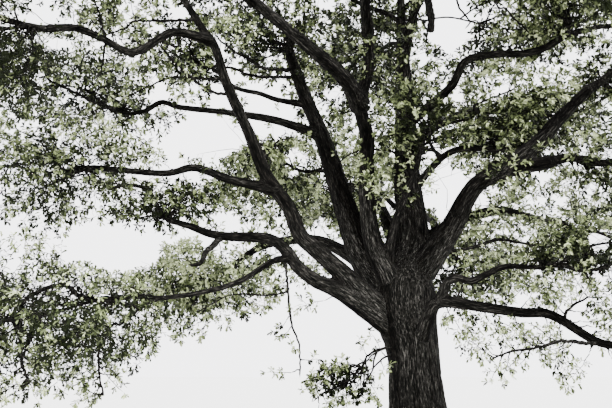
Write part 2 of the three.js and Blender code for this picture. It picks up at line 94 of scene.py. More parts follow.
# %% [markdown]
# The oak's own sizes, the same as in its solids. A leg is [run, heading, climb] in metres and
# degrees: heading 0 is along +X and 90 along +Y. Each limb leaves its parent so many metres
# along the parent's axis. The last four numbers place the egg-shaped space of the foliage at
# its end: how far ahead of the tip and up from it its middle is, and its three half sizes.

# %% The sizes of trunk and limbs
WAIST_RADIUS = 0.5
FLARE = dict(spread=0.4, height=0.45, ridges=6, ridge_share=0.3)
FORK = dict(height=3.0, swelling=0.15, run=0.62)
LEADER = dict(low=0.42, tip=0.07, shoulder=1.3)
COLLAR = dict(swelling=0.6, run=5)
BELOW_GROUND = 0.15
CLEARANCE = 0.0003
TRUNK_LEGS = [
    [BELOW_GROUND, 0, 90], [0.95, 180, 86], [1.1, 180, 87], [0.8, 125, 80], [0.85, 62, 72],
    [0.75, 43, 73], [1.15, 101, 85], [1.7, 73, 87], [2.15, 68, 87], [1.95, 63, 87],
]
LIMBS = {
    "great_left_limb": ("trunk", 2.4, 0.2, 0.06, [
        [1.8, 194, 42], [0.8, 199, 38], [0.4, 198, 42], [0.6, 213, 62], [0.75, 205, 51],
        [0.85, 219, 61], [1.05, 205, 63], [0.8, 218, 67], [0.45, 202, 52], [0.75, 194, 57],
        [0.6, 196, 58]], (1.3, 1.3), (2.8, 2.6, 1.9)),
    "low_left_limb": ("trunk", 2.35, 0.19, 0.06, [
        [1.6, 194, 33], [0.65, 190, 24], [0.45, 196, 36], [0.35, 193, 54], [0.45, 188, 32],
        [0.95, 188, 2], [0.6, 187, 17], [0.4, 187, 14]], (0.35, 0.55), (2.1, 1.4, 0.85)),
    "drooping_left_limb": ("low_left_limb", 2.9, 0.06, 0.045, [
        [0.6, 232, -16], [0.85, 223, -31], [0.8, 223, -19], [0.75, 223, -12]],
        (2.1, -0.4), (2.7, 2.2, 1.2)),
    "left_limb": ("great_left_limb", 4.0, 0.09, 0.06, [
        [0.9, 183, 12], [0.8, 172, 21], [0.6, 171, -8], [0.95, 174, 6], [0.6, 174, 8]],
        (1.0, 0), (2.9, 2.2, 1.5)),
    "inner_left_limb": ("great_left_limb", 4.7, 0.05, 0.04, [
        [0.5, 80, 25], [0.5, 95, 35]], (0.4, 0.3), (1.6, 1.3, 0.9)),
    "near_left_limb": ("great_left_limb", 7.2, 0.08, 0.065, [
        [0.75, 209, -3], [0.7, 216, -44], [0.4, 220, -35], [0.55, 225, 6], [0.45, 223, -1],
        [0.55, 233, -28]], (1.3, -0.5), (2.2, 2.2, 1.6)),
    "left_stem": ("trunk", 2.75, 0.3, 0.13, [
        [0.95, 155, 57], [0.85, 152, 59], [1.1, 145, 71], [1.75, 147, 72], [1.4, 157, 69],
        [1.2, 149, 71]], (0.4, 1.5), (2.6, 2.3, 1.9)),
    "long_left_limb": ("left_stem", 4.8, 0.1, 0.055, [
        [1.15, 186, 17], [1.1, 182, 9], [1.1, 189, 3], [0.45, 191, 12], [0.4, 187, -34],
        [0.35, 182, -16]], (1.1, 0.6), (2.8, 2.5, 1.4)),
    "left_stem_branch": ("left_stem", 5.7, 0.07, 0.045, [
        [0.75, 191, 5], [0.45, 187, 18], [0.6, 185, 13], [0.65, 191, 39]],
        (0.9, 0.5), (1.8, 1.8, 1.0)),
    "middle_stem": ("trunk", 2.8, 0.19, 0.12, [
        [0.95, 207, 65], [0.65, 180, 66], [0.95, 180, 83], [1.4, 63, 85], [0.85, 180, 82],
        [1.2, 24, 78], [1.6, 121, 86]], (0.1, 1.7), (2.5, 2.3, 1.9)),
    "slender_stem": ("middle_stem", 1.05, 0.1, 0.06, [
        [0.9, 313, 73], [0.6, 335, 67], [0.65, 337, 65]], (0.35, 1.15), (1.35, 1.25, 1.1)),
    "upper_left_limb": ("middle_stem", 4.75, 0.15, 0.09, [
        [0.7, 229, 40], [0.95, 209, 31], [1.35, 210, 27], [0.6, 204, 34], [1.2, 240, 38]],
        (1.2, 1.0), (2.5, 2.5, 1.8)),
    "front_left_limb": ("upper_left_limb", 3.2, 0.09, 0.06, [
        [1.4, 228, 12], [1.6, 238, 2], [1.2, 236, -12]], (1.4, -0.5), (2.7, 2.6, 1.9)),
    "front_limb": ("middle_stem", 6.7, 0.1, 0.06, [
        [1.4, 262, 28], [1.6, 268, 10], [1.4, 266, -14]], (1.6, -0.5), (2.8, 2.7, 1.9)),
    "right_limb": ("trunk", 3.3, 0.24, 0.13, [
        [1.25, 344, 53], [0.55, 343, 54], [0.55, 339, 60], [0.45, 340, 49], [0.55, 349, 22],
        [0.9, 347, 8]], (2.9, -0.1), (3.4, 2.6, 1.8)),
    "rising_right_limb": ("right_limb", 3.15, 0.16, 0.11, [
        [1.0, 350, 34], [0.8, 340, 45], [0.8, 340, 42]], (1.7, 0.9), (2.8, 2.6, 1.8)),
    "low_right_limb": ("trunk", 1.9, 0.13, 0.065, [
        [1.15, 288, 51], [0.35, 312, 39], [0.7, 335, -10], [0.7, 333, -11], [0.5, 336, -7],
        [0.8, 328, -35], [0.5, 320, -10]], (2.3, 0.9), (2.7, 2.5, 1.8)),
    "low_right_fork": ("low_right_limb", 1.5, 0.075, 0.05, [
        [0.4, 326, 64], [0.2, 341, 19], [0.25, 346, -16], [0.3, 344, 22], [0.35, 343, 21],
        [0.5, 341, -5]], (0.8, 0.3), (1.4, 1.1, 0.6)),
    "inner_right_limb": ("trunk", 5.6, 0.085, 0.06, [
        [1.05, 329, 43], [0.55, 338, 18], [0.7, 344, -10]], (0.45, 0.75), (1.9, 1.6, 1.0)),
    "high_right_limb": ("trunk", 7.3, 0.1, 0.07, [
        [1.0, 311, 20], [0.5, 302, 19], [0.55, 310, 46], [0.65, 335, -1], [0.45, 330, -16],
        [0.45, 329, 0], [0.45, 325, 19]], (0.75, 0.65), (2.3, 2.2, 1.5)),
    "back_left_limb": ("trunk", 3.35, 0.17, 0.08, [
        [1.2, 140, 35], [1.6, 136, 28], [1.6, 142, 4], [1.3, 138, -16]],
        (1.8, -0.5), (2.8, 2.7, 1.5)),
    "back_limb": ("trunk", 3.85, 0.16, 0.08, [
        [1.2, 105, 52], [1.7, 98, 44], [1.7, 104, 28], [1.0, 100, 8]],
        (1.9, 0.6), (2.8, 2.7, 2.0)),
    "back_right_limb": ("trunk", 4.4, 0.16, 0.08, [
        [1.2, 75, 36], [1.7, 66, 20], [1.7, 70, 2], [1.2, 64, -14]],
        (1.6, -0.4), (2.8, 2.7, 1.6)),
    "right_back_limb": ("trunk", 4.1, 0.16, 0.09, [
        [1.2, 30, 38], [1.7, 24, 22], [1.7, 32, 0]], (3.1, -0.1), (3.3, 2.7, 1.8)),
    "high_back_right_limb": ("trunk", 6.6, 0.13, 0.08, [
        [1.3, 44, 42], [1.7, 36, 30], [1.5, 30, 14]], (1.2, -0.4), (2.9, 2.8, 2.1)),
    "front_right_limb": ("trunk", 9.0, 0.1, 0.06, [
        [1.2, 300, 64], [1.3, 297, 26], [1.6, 296, -6], [1.7, 295, -26]],
        (1.6, -1.3), (2.7, 2.7, 2.1)),
}
# Foliage straight from the trunk: metres along it, or None for its tip, heading and climb of
# its stem, and its space.
TRUNK_FOLIAGE = {
    "top": (None, 337, 85, (0.3, 1.9), (3.3, 3.3, 2.1)),
    "upper_back": (9.4, 100, 35, (3.5, 1.9), (3.2, 2.9, 2.1)),
    "upper_right": (10.1, 30, 35, (3.5, 1.0), (3.2, 2.9, 2.0)),
    "upper_front": (10.4, 312, 32, (3.5, 1.15), (3.0, 2.8, 2.0)),
    "upper_left": (10.1, 175, 38, (3.6, 2.0), (2.8, 2.6, 1.9)),
    "high_back_left": (5.2, 134, 45, (4.6, 2.4), (2.9, 2.7, 1.9)),
    "low_shoot": (2.1, 205, 5, (1.5, -0.5), (0.95, 0.75, 0.55)),
}
print("limbs", len(LIMBS), "masses", len(LIMBS) + len(TRUNK_FOLIAGE))

# %% [markdown]
# A limb follows a smooth curve through the ends of its legs. The curve could be a Blender curve
# object, but the leaves need to know where the wood is, so it is worked out in numbers: a
# Catmull-Rom curve, with its length measured along it.

# %% Curves
UP = np.array([0.0, 0.0, 1.0])
TANGENT_STEP = 0.005

def direction(heading, climb):
    h, c = math.radians(heading), math.radians(climb)
    return np.array([math.cos(c) * math.cos(h), math.cos(c) * math.sin(h), math.sin(c)])

def unit(vectors):
    return vectors / np.maximum(np.linalg.norm(vectors, axis=-1, keepdims=True), 1e-9)

class Axis:
    """A smooth curve through points, measured in metres along it."""
    def __init__(self, points, samples=400):
        p = [np.asarray(q, float) for q in points]
        p = [2 * p[0] - p[1], *p, 2 * p[-1] - p[-2]]
        spans = len(p) - 3
        place = np.linspace(0, spans, samples + 1)
        span = np.minimum(place.astype(int), spans - 1)
        t = (place - span)[:, None]
        a, b, c, d = (np.array(p)[span + k] for k in range(4))
        leave, arrive = 0.5 * (c - a), 0.5 * (d - b)
        self.points = ((2 * b - 2 * c + leave + arrive) * t ** 3
                       + (3 * c - 3 * b - 2 * leave - arrive) * t ** 2 + leave * t + b)
        steps = np.linalg.norm(np.diff(self.points, axis=0), axis=1)
        self.metres = np.concatenate([[0], np.cumsum(steps)])
        self.length = self.metres[-1]

    def at(self, metres):
        return np.stack([np.interp(metres, self.metres, self.points[:, k]) for k in range(3)], -1)

    def tangent(self, metres):
        return unit(self.at(np.minimum(np.asarray(metres) + TANGENT_STEP, self.length))
                    - self.at(np.maximum(np.asarray(metres) - TANGENT_STEP, 0)))

def axis_of_legs(start, legs):
    joints = [np.asarray(start, float)]
    for run, heading, climb in legs:
        joints.append(joints[-1] + run * direction(heading, climb))
    return Axis(joints)

trunk_axis = axis_of_legs((0, 0, -BELOW_GROUND), TRUNK_LEGS)
axes = {"trunk": trunk_axis}
for name, (parent, at, _, _, legs, *_) in LIMBS.items():
    axes[name] = axis_of_legs(axes[parent].at(at), legs)
print("trunk axis", round(trunk_axis.length, 2), "m, great left limb",
      round(axes["great_left_limb"].length, 2), "m")

# %% [markdown]
# The radii follow the same rules as in the solids: root ridges that die away upwards, a waist, a
# swelling under the fork and a tapering leader, and for each limb an even taper with a collar.

# %% Radii
def trunk_radius(along, angle):
    height = np.maximum(0, along - BELOW_GROUND)
    ridges = 1 + FLARE["ridge_share"] * np.cos(FLARE["ridges"] * angle + 0.8 * np.sin(angle))
    flare = FLARE["spread"] * np.exp(-height / FLARE["height"]) * ridges
    swelling = FORK["swelling"] * np.exp(-((height - FORK["height"]) / FORK["run"]) ** 2)
    share = np.maximum(0, along - FORK["height"]) / (trunk_axis.length - FORK["height"])
    leader = LEADER["low"] + (LEADER["tip"] - LEADER["low"]) * share
    above = np.clip((height - FORK["height"]) / LEADER["shoulder"], 0, 1)
    above = above * above * (3 - 2 * above)
    return WAIST_RADIUS + (leader - WAIST_RADIUS) * above + swelling + flare

def limb_radius(name):
    thick, thin = LIMBS[name][2:4]
    return lambda along, angle=0: (thick + (thin - thick) * along / axes[name].length
                                   + COLLAR["swelling"] * thick
                                   * np.exp(-along / (COLLAR["run"] * thick)))

radii = {"trunk": trunk_radius, **{name: limb_radius(name) for name in LIMBS}}
print("girth at breast height", round(2 * math.pi * float(trunk_radius(1.45, 0)), 2), "m")

# %% [markdown]
# Each mass of foliage has a foot on its limb's tip, a stem that runs through the middle of its
# egg, and the egg itself. The solids' own rule is written again here, so that the leaves take
# the very places that the solids keep for them.

# %% The spaces of the masses
STEM = dict(thin=0.035, overrun=0.4, rings=4, trunk_radius=0.075, tip_share=0.96,
            straight_on_tip=0.15, straight_on_trunk=0.7)
masses = {}

def add_mass(name, point, way, straight, radius, heading, ahead_up, half):
    along = direction(heading, 0)
    middle = point + ahead_up[0] * along + ahead_up[1] * UP
    stem = Axis([point, point + straight * way, middle, middle + STEM["overrun"] * half[0] * along])
    masses[name] = dict(middle=middle, along=along, across=direction(heading + 90, 0),
                        half=np.array(half), stem=stem, radius=radius)

def add_mass_on_tip(name, limb, heading, ahead_up, half):
    axis = axes[limb]
    way = axis.tangent(axis.length)
    radius = STEM["tip_share"] * float(radii[limb](axis.length, 0))
    add_mass(name, axis.at(axis.length) + CLEARANCE * way, way, STEM["straight_on_tip"], radius,
             heading, ahead_up, half)

for name, (*_, legs, ahead_up, half) in LIMBS.items():
    add_mass_on_tip(name + "_foliage", name, legs[-1][1], ahead_up, half)
for name, (at, heading, climb, ahead_up, half) in TRUNK_FOLIAGE.items():
    if at is None:
        add_mass_on_tip(name + "_foliage", "trunk", heading, ahead_up, half)
    else:
        add_mass(name + "_foliage", trunk_axis.at(at), direction(heading, climb),
                 STEM["straight_on_trunk"], STEM["trunk_radius"], heading, ahead_up, half)

def depth_in(mass, points):
    """How far out points lie in a mass's egg: 0 in the middle and 1 at its edge."""
    way = points - mass["middle"]
    return np.sqrt((way @ mass["along"] / mass["half"][0]) ** 2
                   + (way @ mass["across"] / mass["half"][1]) ** 2
                   + (way[..., 2] / mass["half"][2]) ** 2)

SPACE_MARGIN = 0.02
LIMB_MARGIN = 0.08
LEAF_MARGIN = 0.05
LOWEST_LEAF = 1.0

def in_own_space(name, points, margin=SPACE_MARGIN):
    own = depth_in(masses[name], points)
    inside = (own < 1) & (points[..., 2] > LOWEST_LEAF)
    for other, mass in masses.items():
        if other != name:
            inside &= depth_in(mass, points) > own + margin
    return inside

print("masses", len(masses))

# %% [markdown]
# Stakes stand along every limb and stem, each with the wood's radius there. A twig or a leaf
# keeps clear of all stakes but those of its own mass.

# %% Stakes
STAKE_REACH = 0.8  # metres outside an egg at which a stake still counts

def point_on_stem(stem, along):
    """A place on the straight pieces between the rings of a stem."""
    place = np.minimum(0.9999, np.asarray(along, float) / stem.length) * STEM["rings"]
    ring = np.floor(place)
    low = stem.at(ring * stem.length / STEM["rings"])
    high = stem.at((ring + 1) * stem.length / STEM["rings"])
    return low + (high - low) * (place - ring)[..., None]

def stem_radius(mass, along):
    share = np.sqrt(np.asarray(along) / mass["stem"].length)
    return mass["radius"] + (STEM["thin"] - mass["radius"]) * share

rows = []
for name, axis in axes.items():
    along = np.arange(0, axis.length, LIMB_MARGIN)
    rows.append((axis.at(along), radii[name](along, 0), [None] * len(along)))
for name, mass in masses.items():
    along = np.arange(0, mass["stem"].length, LIMB_MARGIN)
    rows.append((point_on_stem(mass["stem"], along), stem_radius(mass, along),
                 [name] * len(along)))
stake_points, stake_radii, stake_owners = (np.concatenate(column) for column in zip(*rows))

def stakes_near(name):
    mass = masses[name]
    near = np.linalg.norm(stake_points - mass["middle"], axis=1) < mass["half"].max() + STAKE_REACH
    near &= stake_owners != name
    return stake_points[near], stake_radii[near]

def clear_of(stakes, points, margin=LIMB_MARGIN):
    places, sizes = stakes
    clear = np.ones(len(points), bool)
    for place, size in zip(places, sizes):
        clear &= ((points - place) ** 2).sum(1) > (size + margin) ** 2
    return clear

print("stakes", len(stake_points))

# %% [markdown]
# The growth rule of the solids. Main twigs leave the stem for places spread evenly through the
# egg by steps that never fall into a pattern. Each ends in a spray, and side sprays stand out
# from it. In the solids a spray is one large blade. Here the same rule places the sprays, goes
# on for more of them, and each becomes a leafy branch in the blade's place.

# %% The growth rule
TWIG = dict(shortest=0.3, solid_most=5, tries=120, more_tries=200, reach=(0.72, 0.96))
SPRAY = dict(per_size=0.27, longest=1.7, shortest=0.5, width=0.78, widest_at=0.56,
             side_size=0.85, shrink=0.4, apart=0.4, over_twig=0.9)
KNOTS = dict(first=0.1, last=0.95, spacing=0.1, cost_along=0.5)
SPREAD = dict(level=0.7549, turn=0.5698)
SIDE_SPRAYS = [0.45, 0.85]
SWAY = dict(end=26, end_turns=[0, 120, 240], side=62, side_turns=[90, 140, 40, 190], roll=60)
PROBES = [(run, out) for run in (0.15, 0.3, 0.43, 0.56, 0.7, 0.85, 1)
          for out in (-1, -0.5, 0, 0.5, 1)]
RIB = np.array([0.3, 0.65, 1])
TWIG_PROBES = np.arange(0.1, 1.01, 0.1)[:, None]
FIRST_SEED = 101
MORE_TWIGS = 24       # twigs of a mass, where its space has room
MORE_APART = 0.16     # how near to each other the further sprays may come, in their length

def seeded(seed):
    """The solids' own seeded numbers from 0 to 1."""
    state = seed
    word = 0xFFFFFFFF
    while True:
        state = (state + 0x6D2B79F5) & word
        t = state
        t = ((t ^ (t >> 15)) * (t | 1)) & word
        t ^= (t + (((t ^ (t >> 7)) * (t | 61)) & word)) & word
        yield ((t ^ (t >> 14)) & word) / 4294967296

def bent(way, degrees, turn):
    side = unit(np.cross(UP, way))
    above = np.cross(way, side)
    d, t = math.radians(degrees), math.radians(turn)
    return way * math.cos(d) + side * math.sin(d) * math.cos(t) + above * math.sin(d) * math.sin(t)

def spray_at(root, along, roll, length):
    return dict(root=root, along=along, side=bent(along, 90, roll), face=bent(along, 90, roll - 90),
                length=length)

def on_spray(spray, run, out):
    return (spray["root"] + np.multiply.outer(run, spray["along"]) * spray["length"]
            + np.multiply.outer(out, spray["side"]) * 0.5 * SPRAY["width"] * spray["length"])

def blade_width(runs):
    """How wide a spray's outline is along it, with 1 where it is widest."""
    widest = SPRAY["widest_at"]
    return np.where(runs < widest, runs / widest, (1 - runs) / (1 - widest))

def fits(name, stakes, points):
    return bool(in_own_space(name, points).all()) and bool(clear_of(stakes, points).all())

def spray_fits(name, stakes, spray, others, apart, solid):
    runs, outs = np.array(PROBES).T
    probes = on_spray(spray, runs, outs * blade_width(runs))
    if not fits(name, stakes, probes):
        return False
    if not solid and not (probes.min(0) > CAD_BOX[0]).all() & (probes.max(0) < CAD_BOX[1]).all():
        return False
    ribs = on_spray(spray, RIB, np.zeros(3))
    return all(np.linalg.norm(ribs[:, None] - on_spray(other, RIB, np.zeros(3))[None], axis=2).min()
               > apart * spray["length"] for other in others)

def grow_twigs(name, seed):
    mass = masses[name]
    stem, half = mass["stem"], mass["half"]
    random = seeded(seed)
    largest = min(max(SPRAY["per_size"] * half.sum(), SPRAY["shortest"]), SPRAY["longest"])
    stakes = stakes_near(name)
    places = np.arange(KNOTS["first"] * stem.length, KNOTS["last"] * stem.length, KNOTS["spacing"])
    knots = point_on_stem(stem, places)
    twigs, sprays = [], []

    def first_that_fits(tried, apart, solid):
        return next((s for s in tried if spray_fits(name, stakes, s, sprays, apart, solid)), None)

    for k in range(TWIG["more_tries"]):
        if len(twigs) == MORE_TWIGS:
            break
        solid = len(twigs) < TWIG["solid_most"]
        apart = SPRAY["apart"] if solid else MORE_APART
        level = 1 - 2 * ((0.5 + k * SPREAD["level"]) % 1)
        turn = 2 * math.pi * ((0.5 + k * SPREAD["turn"]) % 1)
        reach = TWIG["reach"][0] + (TWIG["reach"][1] - TWIG["reach"][0]) * next(random)
        bend, roll = 360 * next(random), 180 * next(random)
        size = largest * (1 - SPRAY["shrink"] * k / TWIG["tries"])
        out = reach * math.sqrt(1 - level * level)
        tip = (mass["middle"] + mass["along"] * half[0] * out * math.cos(turn)
               + mass["across"] * half[1] * out * math.sin(turn) + UP * half[2] * reach * level)
        cost = np.linalg.norm(knots - tip, axis=1) + KNOTS["cost_along"] * places
        nearest = int(cost.argmin())
        knot = knots[nearest]
        way = tip - knot
        run = np.linalg.norm(way) - SPRAY["over_twig"] * size
        if run < TWIG["shortest"]:
            continue
        way = unit(way)
        neck = knot + way * run
        if not fits(name, stakes, knot + TWIG_PROBES * (neck - knot)):
            continue
        tried = (spray_at(neck, bent(way, SWAY["end"], bend + t), roll, size)
                 for t in SWAY["end_turns"])
        end = first_that_fits(tried, apart, solid)
        if end is None:
            continue
        twig = dict(knot=knot, neck=neck, end=end, sides=[], along=places[nearest])
        twigs.append(twig)
        sprays.append(end)
        for i, share in enumerate(SIDE_SPRAYS):
            root = knot + share * (neck - knot)
            tried = (spray_at(root, bent(way, SWAY["side"], bend + 180 * i + t),
                              roll + SWAY["roll"], SPRAY["side_size"] * size)
                     for t in SWAY["side_turns"])
            side = first_that_fits(tried, apart, solid)
            if side is not None:
                twig["sides"].append(side)
                sprays.append(side)
    return twigs

twigs_of = {name: grow_twigs(name, FIRST_SEED + i) for i, name in enumerate(masses)}
print("twigs", sum(map(len, twigs_of.values())),
      "sprays", sum(1 + len(t["sides"]) for twigs in twigs_of.values() for t in twigs))

# %% [markdown]
# Some limbs run on as thinner boughs inside their foliage, and thin branches cross the open
# places between the limbs or hang from them. They are given by legs, as the limbs are, after the
# growth rule has run, because the solids have none of them.

# %% Thin branches
BRANCHES = {
    "short_low_branch": ("low_left_limb", 4.4, 0.07, 0.035, [
        [0.25, 202, -49], [0.2, 201, -48], [0.15, 221, -68], [0.14, 202, -49], [0.18, 194, -8]]),
    "left_run": ("left_limb", None, 0.055, 0.02, [
        [0.33, 186, -19], [0.41, 187, -31], [0.33, 186, -28]]),
    "drooping_run": ("drooping_left_limb", None, 0.042, 0.026, [
        [0.36, 204, 0], [0.33, 204, -6], [0.41, 204, -4], [0.21, 205, 14], [0.12, 217, 47],
        [0.16, 205, 14], [0.3, 206, -21], [0.38, 211, -37], [0.33, 205, -10]]),
    "long_left_run": ("long_left_limb", None, 0.05, 0.02, [
        [0.47, 186, 12], [0.48, 186, 22], [0.46, 186, 26], [0.35, 186, 23], [0.4, 186, 27]]),
    "near_left_run": ("near_left_limb", None, 0.06, 0.045, [
        [0.27, 207, -6], [0.2, 207, 4], [0.3, 207, 10]]),
    "high_right_run": ("high_right_limb", None, 0.065, 0.045, [[0.43, 338, 4], [0.44, 338, -3]]),
    "fork_run": ("low_right_fork", None, 0.045, 0.03, [
        [0.25, 346, -2], [0.2, 346, 10], [0.24, 345, -20], [0.26, 346, -6], [0.35, 346, 11]]),
    "leader_left_branch": ("left_stem", 6.79, 0.055, 0.02, [
        [0.78, 191, -2], [0.39, 193, 27], [0.59, 193, 27], [0.5, 195, 40]]),
    "crossing_branch": ("left_stem", 6.56, 0.042, 0.018, [
        [1.1, 197, -7], [0.56, 197, 13], [0.92, 197, -3], [0.6, 198, 24], [0.5, 198, 24]]),
    "high_thin_branch": ("great_left_limb", 7.72, 0.033, 0.014, [
        [0.58, 189, -9], [0.6, 189, -6], [0.19, 193, -50], [0.45, 190, -32]]),
    "middle_thin_branch": ("great_left_limb", 6.08, 0.033, 0.015, [
        [0.35, 197, -1], [0.5, 199, 29], [0.52, 202, 39], [0.3, 203, 43]]),
    "low_thin_branch": ("great_left_limb", 6.39, 0.031, 0.014, [
        [0.31, 174, 5], [0.75, 174, 5], [0.59, 174, -19], [0.43, 174, -27]]),
    "upright_thin_branch": ("near_left_limb", 2.3, 0.026, 0.011, [
        [0.32, 165, 68], [0.31, 161, 72], [0.46, 166, 66]]),
    "falling_thin_branch": ("near_left_limb", 2.3, 0.023, 0.01, [
        [0.19, 224, -82], [0.33, 280, -84], [0.29, 203, -76]]),
    "hanging_branch": ("low_left_limb", 3.25, 0.029, 0.014, [
        [0.47, 340, -73], [0.5, 312, -82], [0.63, 322, -81], [0.39, 344, -69], [0.58, 289, -84]]),
    "hanging_side_branch": ("hanging_branch", 0.97, 0.02, 0.01, [
        [0.43, 191, -9], [0.6, 191, 0], [0.29, 192, -23], [0.33, 193, -31], [0.29, 195, -39]]),
    "low_near_branch": ("drooping_run", 0.21, 0.027, 0.013, [
        [0.57, 209, -47], [0.11, 199, 0], [0.14, 205, -40], [0.18, 271, -71], [0.1, 209, -47],
        [0.41, 297, -68], [0.38, 319, -60]]),
    "low_left_branch": ("drooping_run", 2.05, 0.032, 0.015, [
        [0.38, 235, -56], [0.55, 328, -32], [0.32, 269, -63], [0.44, 320, -46]]),
    "right_drooping_branch": ("low_right_limb", 4.28, 0.036, 0.013, [
        [0.3, 189, -2], [0.4, 189, 4], [0.46, 189, -14], [0.44, 189, -8], [0.38, 189, -19]]),
    "right_stub": ("low_right_limb", 3.69, 0.029, 0.015, [
        [0.16, 290, 84], [0.2, 352, 41], [0.32, 354, 28]]),
    "middle_right_branch": ("trunk", 4.17, 0.05, 0.022, [
        [0.84, 349, 7], [0.5, 349, 8], [0.47, 348, 16], [0.47, 349, -10], [0.49, 348, -15],
        [0.4, 347, -26]]),
    "inner_left_run": ("inner_right_limb", 1.12, 0.037, 0.015, [
        [0.31, 186, 28], [0.68, 186, -8], [0.33, 186, 10], [0.62, 186, -4], [0.51, 187, -35]]),
    "inner_crossing": ("inner_right_limb", 1.06, 0.039, 0.016, [
        [0.47, 173, 64], [0.37, 6, 60], [0.89, 3, 20], [0.28, 12, 77], [0.84, 3, 24], [0.44, 3, 33]]),
    "low_shoot_branch": ("trunk", 2.37, 0.03, 0.011, [
        [0.89, 197, -17], [0.41, 209, -54], [0.32, 203, -42], [0.45, 198, -17], [0.37, 200, -31]]),
    "low_shoot_fork": ("trunk", 2.35, 0.026, 0.011, [
        [0.89, 210, -27], [0.31, 219, -45], [0.25, 218, -44], [0.31, 236, -57]]),
    "hanging_stub": ("front_right_limb", 1.88, 0.104, 0.079, [
        [0.42, 180, -84], [0.47, 0, -85], [0.39, 180, -83]]),
    "top_right_twig": ("front_right_limb", 2.75, 0.033, 0.013, [
        [1.08, 63, -84], [0.31, 14, -66], [0.26, 9, -51], [0.13, 6, 4], [0.39, 10, -54]]),
    "top_right_side_twig": ("top_right_twig", 1.66, 0.021, 0.011, [[0.23, 171, -52]]),
    "high_right_twig": ("front_right_limb", 3.91, 0.035, 0.015, [
        [1.63, 78, -84], [0.26, 8, -44], [0.35, 9, -50], [0.34, 8, -47]]),
}

def branch_radius(name):
    thick, thin = BRANCHES[name][2:4]
    return lambda along, angle=0: thick + (thin - thick) * np.asarray(along) / axes[name].length

for name, (parent, at, _, _, legs) in BRANCHES.items():
    axes[name] = axis_of_legs(axes[parent].at(axes[parent].length if at is None else at), legs)
    radii[name] = branch_radius(name)
print("thin branches", len(BRANCHES), "in all",
      round(sum(axes[name].length for name in BRANCHES)), "m")

# %% [markdown]
# Twigs are many thin tapering tubes. A curve object could give each of them, but there are tens
# of thousands, so one function turns rows of points into rows of tubes, all in one mesh. Each
# tube ends in a point, and has a cap at its foot unless that is hidden in thicker wood.

# %% Tubes and meshes
def frames_along(paths):
    """Two directions across each path at each of its points."""
    ways = unit(np.gradient(paths, axis=1))
    helper = np.where(np.abs(ways[:, :1, 2:]) < 0.8, UP, (1.0, 0, 0))
    side = unit(np.cross(helper, ways))
    return side, np.cross(ways, side)

def tubes(paths, sizes, sides, capped=True):
    """Corners and faces of tubes along paths of K points, pointed at their ends."""
    count, rings = paths.shape[:2]
    side, above = frames_along(paths)
    turn = 2 * np.pi * np.arange(sides) / sides
    out = np.cos(turn)[:, None] * side[:, :-1, None] + np.sin(turn)[:, None] * above[:, :-1, None]
    ring = paths[:, :-1, None] + sizes[:, :-1, None, None] * out
    corners = np.concatenate([ring.reshape(count, -1, 3), paths[:, -1:]], 1)
    each = (rings - 1) * sides + 1
    k, next_k = np.arange(sides), (np.arange(sides) + 1) % sides
    quads = [np.stack([r * sides + k, r * sides + next_k,
                       (r + 1) * sides + next_k, (r + 1) * sides + k], 1) for r in range(rings - 2)]
    quads = np.concatenate(quads) if quads else np.zeros((0, 4), int)
    last = (rings - 2) * sides
    tips = np.stack([last + k, last + next_k, np.full(sides, each - 1)], 1)
    cap = k[::-1][None] if capped else np.zeros((0, sides), int)
    start = np.arange(count)[:, None, None] * each
    return corners.reshape(-1, 3), [(f[None] + start).reshape(-1, f.shape[1])
                                    for f in (quads, tips, cap) if len(f)]

def piece_of(name, parts, finishes, tints=None, smooth=True):
    """One mesh object from several sets of corners and faces."""
    corners, faces, count = [], [], 0
    for points, sets in parts:
        corners.append(points)
        faces += [f + count for f in sets]
        count += len(points)
    corners = np.concatenate(corners).astype(np.float32)
    loops = np.concatenate([f.ravel() for f in faces]).astype(np.int32)
    sizes = np.concatenate([np.full(len(f), f.shape[1]) for f in faces])
    mesh = bpy.data.meshes.new(name)
    mesh.vertices.add(len(corners))
    mesh.vertices.foreach_set("co", corners.ravel())
    mesh.loops.add(len(loops))
    mesh.loops.foreach_set("vertex_index", loops)
    mesh.polygons.add(len(sizes))
    mesh.polygons.foreach_set("loop_start", (np.cumsum(sizes) - sizes).astype(np.int32))
    for finish in finishes:
        mesh.materials.append(finish)
    if tints is not None:
        mesh.polygons.foreach_set("material_index", tints.astype(np.int32))
    mesh.update(calc_edges=True)
    mesh.polygons.foreach_set("use_smooth", np.full(len(sizes), smooth))
    piece = bpy.data.objects.new(name, mesh)
    bpy.context.scene.collection.objects.link(piece)
    return piece

def triangles(piece):
    sizes = np.zeros(len(piece.data.polygons), np.int32)
    piece.data.polygons.foreach_get("loop_total", sizes)
    return int((sizes - 2).sum())

print("helpers ready")

# %% [markdown]
# Old oak bark is grey-brown on its ridges, with paler flecks where it catches the weather. The
# same height that raises the ridges colours the furrows nearly black. That is painted shade in the
# recesses, over the bark's own dark tone. The whole bark is also kept darker than its own colour,
# as painted shade of wood seen against the light. The pattern has to run along each limb, so it
# reads the place on the limb that the bark mesh carries as an attribute, drawn out along the limb.

# %% Finishes
# The dark stops are painted shade in the furrows, over the bark's own tone. All stops are darkened as
# painted shade of the backlit wood.
BARK_AND_SHADE_COLOURS = [(0.42, (0.001, 0.001, 0.001)), (0.49, (0.006, 0.006, 0.005)),
                (0.55, (0.02, 0.0188, 0.0165)), (0.64, (0.13, 0.122, 0.109))]
WORN_COLOURS = [(0.38, (0.22, 0.21, 0.2)), (0.62, (1, 1, 1))]
# Lit and shaded copies of one leaf colour. The deep one is painted shade, and the pale one is painted
# light and sunlit glints. Each leaf's light deals them out, with some spread at random, and the gloss
# drops with the shade.
LEAF_TINTS_LIT_AND_SHADED = {  # colour and gloss
    "leaf_deep_shaded": ((0.008, 0.011, 0.004), 0.05), "leaf_green": ((0.055, 0.07, 0.027), 0.15),
    "leaf_olive": ((0.19, 0.23, 0.095), 0.3), "leaf_pale_lit": ((0.48, 0.53, 0.3), 0.4),
}

